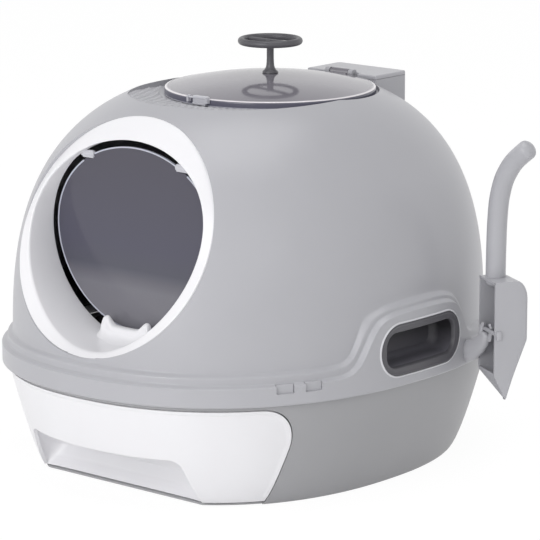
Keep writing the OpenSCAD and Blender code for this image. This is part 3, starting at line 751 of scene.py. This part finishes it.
def build_flap_edge():
    """The flap's sawn edge: a thin band round the plate, left out at the notches for the knuckles."""
    def band(start, end):
        t = np.radians(np.linspace(start, end, 90))
        rise, run = FLAP_RISE * np.sin(t), FLAP_RUN * (1 + FLAP_EGG * np.sin(t)) * np.cos(t)
        rings = [points(run * s, FLAP_Y + y, FLAP_Z + rise * s)
                 for s, y in ((0.986, -1.15), (1.001, -1.15), (1.001, 1.15), (0.986, 1.15))]
        rings = np.stack(rings, 1)
        return loft(rings, rings[0].mean(0), rings[-1].mean(0))

    return joined(band(128.5, 411.5), band(61, 119))


def build_knuckle():
    """A clear hinge tab on the flap's right: a block with a rounded back, and the pin beside it."""
    block = slab(KNUCKLE_X - 5, KNUCKLE_X + 10.5, FLAP_Y - 2.6, FLAP_Y + 1.4, 335.6, 344, r=1.2)
    t = np.linspace(0, TAU, 28, endpoint=False)
    radius = np.array([0.01, 2.6, 3.2, 3.2, 2.6, 1.5, 1.5, 1.2, 0.01])
    x = np.array([-6, -6, -5.4, 11.4, 12, 12, 24, 24.5, 24.5]) + KNUCKLE_X
    rings = points(x[:, None], FLAP_Y + radius[:, None] * np.cos(t), PIN_Z + radius[:, None] * np.sin(t))
    return joined(block, loft(rings))


make("ring_and_tunnel", build_ring(), white_shell, "hood", "entry_ring", slot="white_trim", crease=50)
make("flap_saddle", build_stop(), white_shell, "hood", "flap_stop", slot="white_trim", crease=60)
make("flap_plate", build_flap(), smoked_acrylic_painted_reflection, "flap", "flap", slot="smoke_clear")
# The pale band round the flap is a painted highlight on its edge
make("flap_edge", build_flap_edge(), edge_painted_highlight, "flap", slot="smoke_clear")
knuckle = build_knuckle()
make("flap_tab_right", knuckle, clear_clip, "flap", "flap_knuckle_right", slot="clear")
make("flap_tab_left", mirrored(knuckle), clear_clip, "flap", "flap_knuckle_left", slot="clear")


# Tub and drawer


def tub_sheet(t, z):
    """The tub's wall: a superellipse that grows by TUB_GROW (z / RIM_Z)^0.75, its foot rounded off."""
    grow = TUB_GROW * (np.clip(z, 0, RIM_Z) / RIM_Z) ** 0.75
    x, y = oval(FOOT_A + grow, FOOT_B + grow, DOME_N, t)
    return points(x, y, z)


def bay_gap(p):
    """Distance behind the slanted plane at each end of the drawer's bay."""
    line = BAY_FOOT_Y + (BAY_TOP_Y - BAY_FOOT_Y) * p[..., 2] / FACE_TOP
    return p[..., 1] - line


def both(a, b, r):
    """Distance inside two edges that meet in a corner of radius r."""
    inside = np.minimum(a, b)
    corner = r - np.hypot(np.maximum(r - a, 0), np.maximum(r - b, 0))
    return np.where((a < r) & (b < r), corner, inside)


def face_inside(p, grow=0.0):
    """Distance inside the drawer face's outline, with rounded upper corners."""
    side = -bay_gap(p) * 1.17 + grow
    return both(side, FACE_TOP + grow - p[..., 2], BAY_R + grow)


def grip_inside(p):
    """Distance inside the finger recess's outline: slanted ends, rounded upper corners."""
    x, z = p[..., 0], p[..., 2]
    end = GRIP_FOOT_A + (GRIP_TOP_A - GRIP_FOOT_A) * z / GRIP_H - np.abs(x)
    return both(end * 0.97, GRIP_H - z, 9)


def build_tub():
    """Wall and floor of the tub, with the bay open where the drawer's face goes."""
    def keep(p):
        return -face_inside(p, 1.2)

    t = even_turn(300)
    v = np.concatenate([[0.0, 1.2, 2.6, 4.5], np.linspace(8, TUB_H, 26)])
    outer, _, faces = trim(tub_sheet, t, v, keep, around=True)
    inner = outer - WALL * outward(outer, faces) * [1, 1, 0.3]
    wall = shell(outer, inner, faces)
    ring = np.linspace(0, TAU, 240, endpoint=False)
    x, y = oval(FOOT_A - 0.5, FOOT_B - 0.5, DOME_N, ring)
    y = np.where(np.abs(x) < GRIP_FOOT_A, np.maximum(y, -202.5), y)
    rim = [points(x * s, y * s, z) for s, z in ((0.99, 0), (1, 1), (1, 2.6), (0.99, 3.5))]
    floor = loft(np.stack(rim), (0, 0, 0), (0, 0, 3.5))
    return joined(wall, floor)


def recess_depth(h):
    """How far the recess's back lies at a share h of its height: a smooth scoop under an overhang."""
    return np.interp(h, [0, 0.2, 0.45, 0.7, 0.85, 1], [-201, -192, -186, -190, -200, -232])


def build_drawer():
    """The drawer's face with its raised border, and the recess for the fingers behind its opening."""
    def lifted(t, z):
        p = tub_sheet(t, z)
        inside = face_inside(p)
        border = soft_step((4.2 - inside) / 1.4) * soft_step((z - 6) / 4)
        x, y = p[..., 0], p[..., 1]
        size = np.hypot(x, y)
        p[..., 0] += 0.9 * border * x / size
        p[..., 1] += 0.9 * border * y / size
        return p

    def keep(p):
        return np.minimum(np.minimum(face_inside(p), p[..., 2] - FACE_FOOT), -grip_inside(p))

    t = np.radians(np.linspace(-151, -29, 240))
    z = np.concatenate([np.linspace(2, 92, 72, endpoint=False), np.linspace(92, 109, 28)])
    outer, uv, faces = trim(tub_sheet, t, z, keep)
    outer = lifted(uv[:, 0], uv[:, 1])
    normal = outward(outer, faces)
    face = shell(outer, outer - 3.6 * normal, faces)
    u = np.sin(np.linspace(-1, 1, 81) * math.pi / 2)
    h = np.linspace(0, 1, 36)
    uu, hh = np.meshgrid(u, h)
    zz = FACE_FOOT + (GRIP_H - 0.5 - FACE_FOOT) * hh
    xx = uu * (GRIP_FOOT_A + (GRIP_TOP_A - GRIP_FOOT_A) * hh - 0.4)
    grow = TUB_GROW * (zz / RIM_Z) ** 0.75
    front = -(FOOT_B + grow - 1) * (1 - np.abs(xx / (FOOT_A + grow - 1)) ** DOME_N) ** (1 / DOME_N)
    deep = (1 - np.abs(uu) ** 14) ** (1 / 3)
    back = recess_depth(hh)
    yy = front + (np.maximum(back, front) - front) * deep
    sheet = points(xx, yy, zz).reshape(-1, 3)
    quads = grid_faces(len(h), len(u), around=False)
    bowl = shell(sheet, sheet + [0, 2.6, 0], [quads])
    return joined(face, bowl)


# The tub's deeper grey is painted shade
make("tub_wall", build_tub(), grey_tub_painted_shade, "base", "base_pan", crease=45)
make("drawer_face", build_drawer(), white_shell, "drawer", "drawer_front", "drawer_grip", slot="white_trim")


# Lid, knob and clip


def crown(r):
    """Height of the lid's crown over a radius: an arc through the rim and the middle."""
    sag = CROWN_Z - LID_RIM_Z
    big = (LID_R ** 2 + sag ** 2) / (2 * sag)
    return CROWN_Z - big + np.sqrt(big ** 2 - r ** 2)


def build_lid():
    """The lid: a shallow crown of clear sheet, with the arm and barrel of its hinge behind."""
    r = np.linspace(0, 109.5, 24)
    outside = np.stack([r, crown(r)], -1)[::-1]
    under = np.stack([r, crown(r) - 2.2], -1)
    disc = revolve(np.concatenate([under, outside]), 0, LID_Y, 180)
    t = np.linspace(0, TAU, 36, endpoint=False)
    x = np.array([-12, -12, -11.4, 11.4, 12, 12])
    radius = np.array([0.01, 3.9, 4.5, 4.5, 3.9, 0.01])
    rings = points(x[:, None], HINGE_Y + radius[:, None] * np.cos(t), HINGE_Z + radius[:, None] * np.sin(t))
    barrel = loft(rings)
    arm = slab(-12, 12, LID_Y + LID_R - 3, HINGE_Y - 3, LID_RIM_Z - 3.5, LID_RIM_Z + 1.5, r=0.8)
    return joined(disc, barrel, arm)


def build_lid_rim():
    """The lid's upright rim, rolled over into the crown at its top."""
    top = crown(109)
    inside = [[109, top - 2.4], [110.4, top - 4], [110.6, LID_FOOT_Z + 0.4]]
    foot = [[111, LID_FOOT_Z], [112.6, LID_FOOT_Z], [LID_R, LID_FOOT_Z + 0.5]]
    section = np.concatenate([inside, foot, arc(LID_R - 2.4, top - 2.6, 2.4, 0, 70), [[109, top + 0.06]]])
    return hoop(section, LID_Y)


def build_knob():
    """The knob: a flared foot, a stem, a fat oval ring and the bar across it."""
    z = CROWN_Z
    foot = [(0, z), (8.0, z), (8.5, z + 0.5), (8.3, z + 1.6), (6.6, z + 3.2), (5.2, z + 5), (4.4, z + 7.5)]
    head = [(3.8, KNOB_Z - 2), (4.6, KNOB_Z - 0.4), (5.2, KNOB_Z + 0.8), (0, KNOB_Z + 1.2)]
    stem = revolve(foot + [(4.0, z + 11), (3.8, z + 16)] + head, 0, LID_Y, 40)
    a = np.linspace(0, TAU, 24, endpoint=False)
    t = np.linspace(0, TAU, 120, endpoint=False)
    r = KNOB_R - 3.5 + 3.5 * np.cos(a)[:, None]
    rings = points(r * np.cos(t), LID_Y + r * np.sin(t), KNOB_Z + (3.7 * np.sin(a))[:, None])
    torus = loft(rings, over=True)
    s = np.linspace(-1, 1, 31)
    bar_x = s * (KNOB_R - 4)
    wide = 3.4 + 1.4 * np.abs(s) ** 3
    ring_a = np.linspace(0, TAU, 20, endpoint=False)
    bar = points(bar_x[:, None], LID_Y + wide[:, None] * np.cos(ring_a), KNOB_Z - 0.4 + 2.2 * np.sin(ring_a))
    return joined(stem, torus, loft(bar))


def build_clip():
    """The clear clip on the lid's front: a plate that hangs over the rim, with a hook bead at its foot."""
    y = LID_Y - LID_R - 3
    low, high = -6.5, 11
    plate = slab(low, high, y - 0.6, y + 1.2, SEAT_Z + 1.6, LID_RIM_Z + 1.4, r=0.5)
    bead = slab(low, high, y - 1.4, y - 0.2, SEAT_Z + 1.6, SEAT_Z + 4, r=0.5)
    top = slab(low, high, y - 0.4, y + 5, LID_RIM_Z + 1.6, LID_RIM_Z + 3.4, r=0.5)
    return joined(plate, bead, top)


# The lid's grey is painted shade of the cabin below it
make("lid_disc", build_lid(), clear_lid_painted_shade, "lid", "top_lid", slot="clear")
make("lid_rim", build_lid_rim(), rim_acrylic_painted_highlights, "lid", slot="clear")
make("knob", build_knob(), dark_nylon, "lid", "lid_knob", slot="dark_grip")
make("clip", build_clip(), clear_clip, "latch", "lid_latch", slot="clear")


# Side handles


def handle_ring(w, h, r, x):
    """A rounded rectangle in the handle's face: half width w, half height h, corner radius r.

    x is how far out it lies, a number or a function of y.
    """
    a = np.linspace(0, TAU, 720, endpoint=False)
    line = np.stack([r * np.cos(a) + (w - r) * np.clip(np.cos(a) * 1e3, -1, 1),
                     r * np.sin(a) + (h - r) * np.clip(np.sin(a) * 1e3, -1, 1)], -1)
    line = np.concatenate([line, line[:1]])
    length = np.concatenate([[0], np.cumsum(np.linalg.norm(np.diff(line, axis=0), axis=1))])
    even = np.linspace(0, length[-1], 160, endpoint=False)
    y, z = (np.interp(even, length, line[:, k]) for k in (0, 1))
    return points(x(y) if callable(x) else x, y, HANDLE_Z + z)


def handle_skin(y):
    """How far out the hood's wall is at the handle."""
    return (DOME_A + RIM_OUT) * (1 - np.abs(y / (DOME_B + RIM_OUT)) ** DOME_N) ** (1 / DOME_N)


def build_bezel():
    """The bezel of the right hand grip: a flush band with a raised bead, and the cup's rolled mouth."""
    steps = (0, -5), (0, 0.4), (1.4, 1.1), (3, 0.1)
    outside = [(BEZEL_W - g, BEZEL_H - g, BEZEL_H - g, d) for g, d in steps]
    mouth = [(CUP_W + g, CUP_H + g, r, d) for g, r, d in ((0, 14, 0), (-1.2, 13, -4.5), (1.5, 15, -5))]
    rows = [handle_ring(w, h, r, lambda y, d=d: handle_skin(y) + d) for w, h, r, d in outside + mouth]
    return loft(rounded(np.stack(rows), [0, 0.6, 0.7, 0.8, 1.6, 0, 0], count=5), over=True)


def build_cup():
    """The cup behind the bezel: a tray with rounded corners, thick enough to close at its edge."""
    def rows(d):
        return [handle_ring(CUP_W - 1.1 + d, CUP_H - 1.1 + d, 13 + d, lambda y: handle_skin(y) - 4),
                handle_ring(CUP_W - 2 + d, CUP_H - 2 + d, 12 + d, CUP_X + 5 - d),
                handle_ring(CUP_W - 8 + d, CUP_H - 8 + d, 8 + d, CUP_X - d)]

    inside = rounded(np.stack(rows(0)), [0, 4, 4], count=6, closed=False)
    outside = rounded(np.stack(rows(1.6)), [0, 4, 4], count=6, closed=False)
    return loft(np.concatenate([outside[::-1], inside]), (CUP_X - 1.6, 0, HANDLE_Z), (CUP_X, 0, HANDLE_Z))


def build_bead():
    """The hood's own raised edge round the right hand grip."""
    rows = [handle_ring(BEZEL_W + g, BEZEL_H + g, BEZEL_H + g, lambda y, d=d: handle_skin(y) + d)
            for g, d in ((0.25, -2), (0.25, 0.7), (0.7, 1.1), (1.4, 0.7), (2.2, -0.2), (2.2, -2))]
    return loft(np.stack(rows), over=True)


bezel, cup, bead = turned(build_bezel()), turned(build_cup()), turned(build_bead())
for side, place in (("right", lambda part: part), ("left", mirrored)):
    make("bezel_" + side, place(bezel), dark_nylon, "hood", "handle_insert_" + side, slot="dark_grip")
    # The bead's paler grey is a painted highlight
    make("grip_bead_" + side, place(bead), grey_painted_highlight, "hood")
    # The cup's dark colour and its height bands are painted shade and light
    make("cup_" + side, place(cup), cup_nylon_painted_shade_and_light, "hood", "handle_insert_" + side, slot="dark_grip")


# Filter box


def box_inside(x, y):
    """Distance inside the plan of the filter box: rounded back corners, and a notch for the lid's hinge."""
    side = BOX_A - np.abs(x)
    corner = both(side, BOX_Y1 - y, 5)
    notch = np.maximum(np.abs(x) - NOTCH_A, y - NOTCH_Y)
    return np.minimum(np.minimum(corner, y - BOX_Y0), notch)


def box_sheet(z, edge=0.0):
    """A level sheet over the box's plan; its edge is rounded off by a quarter circle of radius edge."""
    def place(u, v):
        drop = edge - np.sqrt(np.maximum(edge ** 2 - np.maximum(edge - box_inside(u, v), 0) ** 2, 0))
        return points(u, v, z - drop)

    def keep(p):
        return box_inside(p[..., 0], p[..., 1])

    u, v = np.linspace(-BOX_A - 2, BOX_A + 2, 124), np.linspace(BOX_Y0 - 2, BOX_Y1 + 2, 82)
    outer, _, faces = trim(place, u, v, keep)
    return outer, faces


def build_box():
    """The filter box behind the lid: a block under its cover, down to the dome."""
    outer, faces = box_sheet(BOX_TOP - 4.4)
    foot = np.minimum(dome_height(outer[:, 0], outer[:, 1]) - 1, BOX_TOP - 6)
    return shell(outer, np.stack([outer[:, 0], outer[:, 1], foot], -1), faces)


def build_cover():
    """The filter box's cover: a plate with a rounded upper edge."""
    outer, faces = box_sheet(BOX_TOP, 1.5)
    return shell(outer, np.stack([outer[:, 0], outer[:, 1], np.full(len(outer), BOX_TOP - 4)], -1), faces)


make("filter_housing", build_box(), grey_shell, "hood", "filter_box")
make("filter_lid", build_cover(), grey_shell, "cover", "filter_cover", crease=45)


# Scoop

def at_bowl(p):
    """From the bowl's own axes, with its opening towards -X, to the frame's."""
    c, s = math.cos(BOWL_TURN), math.sin(BOWL_TURN)
    x, y = p[..., 0], p[..., 1]
    return np.stack([BOWL_C[0] + c * x - s * y, BOWL_C[1] + s * x + c * y, p[..., 2]], -1)


def build_trough():
    """The bowl's side walls, back and rounded top. Below its lip, its far side slants to the near one's tip.

    In the bowl's own axes the near side is at y = -BOWL_A, and below BOWL_LIP_Z a point's y is
    -BOWL_A + (y + BOWL_A) (z - BOWL_TIP_Z) / (BOWL_LIP_Z - BOWL_TIP_Z).
    """
    rise = BOWL_TOP - BOWL_ROUND_Z
    top = BOWL_ROUND_Z + rise * np.sin(np.linspace(0.1, math.pi / 2, 12))
    z = np.concatenate([np.linspace(BOWL_TIP_Z, BOWL_ROUND_Z, 44), top, [BOWL_TOP, BOWL_TOP]])
    wide = np.concatenate([np.ones(len(z) - 2), [0.6, 0.02]])[:, None]
    shoulder_share = 1 - np.sqrt(1 - (np.clip(z - BOWL_ROUND_Z, 0, rise) / rise) ** 2)
    front = np.interp(z, [BOWL_TIP_Z, BOWL_LIP_Z], [BOWL_TIP_X, -BOWL_D])[:, None]
    back = (np.interp(z, [BOWL_TIP_Z, BOWL_BEND_Z], [BOWL_TIP_X, BOWL_D]) - 13 * shoulder_share)[:, None]
    turn = np.radians(np.linspace(0, 90, 7))
    s = np.concatenate([[0, 0.35, 0.7], 1 - (1 - np.sin(turn)) * 0.12])
    drop = np.concatenate([[0, 0, 0], (1 - np.cos(turn)) * 5])
    x = front + (back - front) * s
    y = BOWL_A * wide - np.minimum(drop, (back - front) * 0.3 + 0.02) * wide
    half = points(x, -y, z[:, None])
    sheet = np.concatenate([half, half[:, ::-1] * [1, -1, 1]], axis=1)
    share = np.interp(z, [BOWL_TIP_Z, BOWL_LIP_Z], [0.04, 1])[:, None]
    sheet[..., 1] = -BOWL_A + (sheet[..., 1] + BOWL_A) * share
    rows, cols = sheet.shape[:2]
    pts = sheet.reshape(-1, 3)
    faces = [grid_faces(rows, cols, around=False)]
    return shell(pts, pts - BOWL_WALL * outward(pts, faces), faces)


def build_facet():
    """The slanted plate under the bowl's lip: full height at its near end, and nothing at its far one."""
    lip = [(-BOWL_D, BOWL_LIP_Z - 0.5), (-BOWL_D + 0.4, BOWL_LIP_Z + 2), (-BOWL_D + 1.8, BOWL_LIP_Z + 2)]
    near = [(BOWL_TIP_X - 0.5, BOWL_TIP_Z + 0.2), *lip, (BOWL_TIP_X + 1.5, BOWL_TIP_Z + 2)]
    far = [(-BOWL_D + 1, BOWL_LIP_Z - 1), *lip, (-BOWL_D + 2, BOWL_LIP_Z)]
    ends = [np.array([[x, y, z] for x, z in line]) for y, line in ((0.4 - BOWL_A, near), (BOWL_A - 0.4, far))]
    return loft(np.stack(ends), ends[0].mean(0), ends[1].mean(0))


def build_scoop_bowl():
    """The bowl with the bar across its opening and the peg at the bar's near end."""
    bar = slab(BAR_X - 2.1, BAR_X + 2.1, 1 - BOWL_A, BOWL_A - 1, 152.9, 157.1, r=2)
    peg = slab(BAR_X - 1, BAR_X + 4.5, -BOWL_A - 2.4, 0.5 - BOWL_A, 149, 158.5, r=0.8)
    pts, faces = joined(build_trough(), build_facet(), bar, peg)
    return at_bowl(pts), faces


def build_horn():
    """The horn that carries the scoop: a stout arm out of the hood's rim, and two prongs for the bar."""
    def arm(path, radius):
        pts, faces = tube(path, radius, 0)
        return pts * [1, HORN_FLAT, 1] + [0, HORN_Y, 0], faces

    stem = arm([(196, 126.5), (226, 127.5), (236, 131), (244, 136.5), (249.5, 143), (251.5, 148)],
               [13, 12.2, 11, 9.4, 7.8, 6.6])
    inner = arm([(246, 144), (246, 152), (247, 157.5), (249, 161)], [3.2, 2.7, 2.4, 1.8])
    outer = arm([(257, 144), (258.8, 151), (259, 157), (257.4, 160.5)], [3.2, 2.4, 2.2, 1.8])
    return joined(stem, inner, outer)


def build_scoop_handle():
    """The handle: a round bar that rises from the bowl and bends away from the hood."""
    key = np.array([(255.2, 205), (255.2, 212), (255.4, 235), (256, 265), (258, 292), (264, 315), (276, 334),
                    (293, 348)])
    length = np.concatenate([[0], np.cumsum(np.linalg.norm(np.diff(key, axis=0), axis=1))])
    fine = np.linspace(0, length[-1], 60)
    path = np.stack([np.interp(fine, length, key[:, k]) for k in (0, 1)], -1)
    for _ in range(12):
        path[1:-1] = (path[:-2] + 2 * path[1:-1] + path[2:]) / 4
    return tube(path, GRIP_R, SCOOP_Y)


make("scoop_trough", build_scoop_bowl(), grey_shell, "scoop", "scoop_bowl", crease=60)
make("scoop_horn", build_horn(), grey_shell, "hood", "scoop_holder", crease=60)
make("scoop_grip", build_scoop_handle(), grey_shell, "scoop", "scoop_handle", crease=60)


# CAD nodes that stay as they are, with their finishes

# The tub's painted-shade grey also goes on the rails, pan rim, litter pan and step
carried = {
    "foot_pads": rubber, "drawer_rails": grey_tub_painted_shade, "pan_rim": grey_tub_painted_shade, "rim_tabs": grey_shell,
    "drawer_tray": white_shell, "litter_pan": grey_tub_painted_shade, "sift_step": grey_tub_painted_shade,
    "flap_socket_left": white_shell, "flap_socket_right": white_shell, "filter_pad": felt,
    "lid_hinge_bracket": grey_shell,
    "lid_hinge_pin": zinc_steel, "knob_screw": zinc_steel, "lid_latch_pin": clear_clip,
}
for name, finish in carried.items():
    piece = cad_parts[name]
    piece.data.materials.clear()
    piece.data.materials.append(finish)


# Floor, light and camera


def lamp(name, place, size, power_w, aim=(0, 0, 0.2)):
    """A square soft box at a place in metres, turned to its aim."""
    data = bpy.data.lights.new(name, "AREA")
    data.size = size
    data.energy = power_w
    o = bpy.data.objects.new(name, data)
    bpy.context.scene.collection.objects.link(o)
    way = np.array(place) - np.array(aim)
    way = way / np.linalg.norm(way)
    side = np.cross([0, 0, 1], way)
    side /= np.linalg.norm(side)
    up = np.cross(way, side)
    turn = np.eye(4)
    turn[:3, 0], turn[:3, 1], turn[:3, 2], turn[:3, 3] = side, up, way, place
    o.matrix_world = Matrix(turn.tolist())


def seen_directly(tree):
    """1 for rays from the camera, and for those mirrored by or passed through the object."""
    path = node(tree, "ShaderNodeLightPath")
    camera, glossy = path.outputs["Is Camera Ray"], path.outputs["Is Glossy Ray"]
    through = path.outputs["Is Transmission Ray"]
    first = node(tree, "ShaderNodeMath", [(0, camera), (1, glossy)], operation="MAXIMUM")
    return node(tree, "ShaderNodeMath", [(0, first.outputs[0]), (1, through)], operation="MAXIMUM").outputs[0]


def build_floor():
    """A large pale floor: mostly plain white to the eye, with some of its real shade left for the shadow."""
    reach = 30000
    floor_pts = points([-reach, reach, reach, -reach], [-reach, -reach, reach, reach], -0.2)
    me = bpy.data.meshes.new("floor")
    me.from_pydata((floor_pts * MM).tolist(), [], [[0, 1, 2, 3]])
    floor = bpy.data.objects.new("floor", me)
    bpy.context.scene.collection.objects.link(floor)
    m = bpy.data.materials.new("painted_floor_white")
    m.use_nodes = True
    tree = m.node_tree
    tree.nodes.clear()
    paint = node(tree, "ShaderNodeBsdfDiffuse", Color=linear("f4f4f4"))
    white = node(tree, "ShaderNodeEmission", Color=(1, 1, 1, 1), Strength=1.03)
    share = node(tree, "ShaderNodeMath", [(0, seen_directly(tree))], operation="MULTIPLY")
    share.inputs[1].default_value = 0.92
    links = [(0, share.outputs[0]), (1, paint.outputs[0]), (2, white.outputs[0])]
    mix = node(tree, "ShaderNodeMixShader", links)
    node(tree, "ShaderNodeOutputMaterial", [("Surface", mix.outputs[0])])
    floor.data.materials.append(m)


def build_world():
    """A white sky, weaker as light than it looks; mirrored, it fades above the backdrop to a dim ceiling."""
    world = bpy.data.worlds.new("studio")
    bpy.context.scene.world = world
    world.use_nodes = True
    tree = world.node_tree
    tree.nodes.clear()
    sky = node(tree, "ShaderNodeBackground", Color=(1, 1, 1, 1), Strength=0.55)
    way = node(tree, "ShaderNodeSeparateXYZ", [(0, node(tree, "ShaderNodeTexCoord").outputs["Object"])])
    high = node(tree, "ShaderNodeMapRange", [("Value", way.outputs["Z"])])
    for socket, value in (("From Min", 0.3), ("From Max", 0.75), ("To Min", 1.0), ("To Max", 0.25)):
        high.inputs[socket].default_value = value
    seen = node(tree, "ShaderNodeBackground", [("Strength", high.outputs["Result"])], Color=(1, 1, 1, 1))
    links = [(0, seen_directly(tree)), (1, sky.outputs[0]), (2, seen.outputs[0])]
    mix = node(tree, "ShaderNodeMixShader", links)
    node(tree, "ShaderNodeOutputWorld", [("Surface", mix.outputs[0])])


def build_camera():
    """The photograph's viewpoint: bearing, height, distance in mm, focal length and middle in its pixels."""
    bearing, height = math.radians(40.87), math.radians(12.35)
    distance, focal, centre_x, aim_z = 3441.3, 3213.95, 251.14, 195.86
    right = np.array([math.cos(bearing), math.sin(bearing), 0])
    level = math.cos(height)
    back = np.array([math.sin(bearing) * level, -math.cos(bearing) * level, math.sin(height)])
    place = back * distance + [0, 0, aim_z]
    look = -back + (PHOTO_PX / 2 - centre_x) / focal * right
    look /= np.linalg.norm(look)
    side = np.cross(look, [0, 0, 1])
    side /= np.linalg.norm(side)
    data = bpy.data.cameras.new("camera")
    data.sensor_width = 36
    data.lens = focal / PHOTO_PX * data.sensor_width
    data.clip_end = 100
    camera = bpy.data.objects.new("camera", data)
    bpy.context.scene.collection.objects.link(camera)
    turn = np.eye(4)
    turn[:3, 0], turn[:3, 1], turn[:3, 2], turn[:3, 3] = side, np.cross(side, look), -look, place * MM
    camera.matrix_world = Matrix(turn.tolist())
    bpy.context.scene.camera = camera


build_floor()
build_world()
lamp("key", (0.5, -3.7, 1.9), 2.2, 44)
lamp("front", (0.4, -3.4, 0.6), 1.6, 20)
lamp("fill", (3.6, -1.2, 1.6), 2.4, 5)
lamp("top", (0.2, 0.2, 3.4), 2.4, 34)
build_camera()
bpy.context.scene.view_settings.view_transform = "Standard"
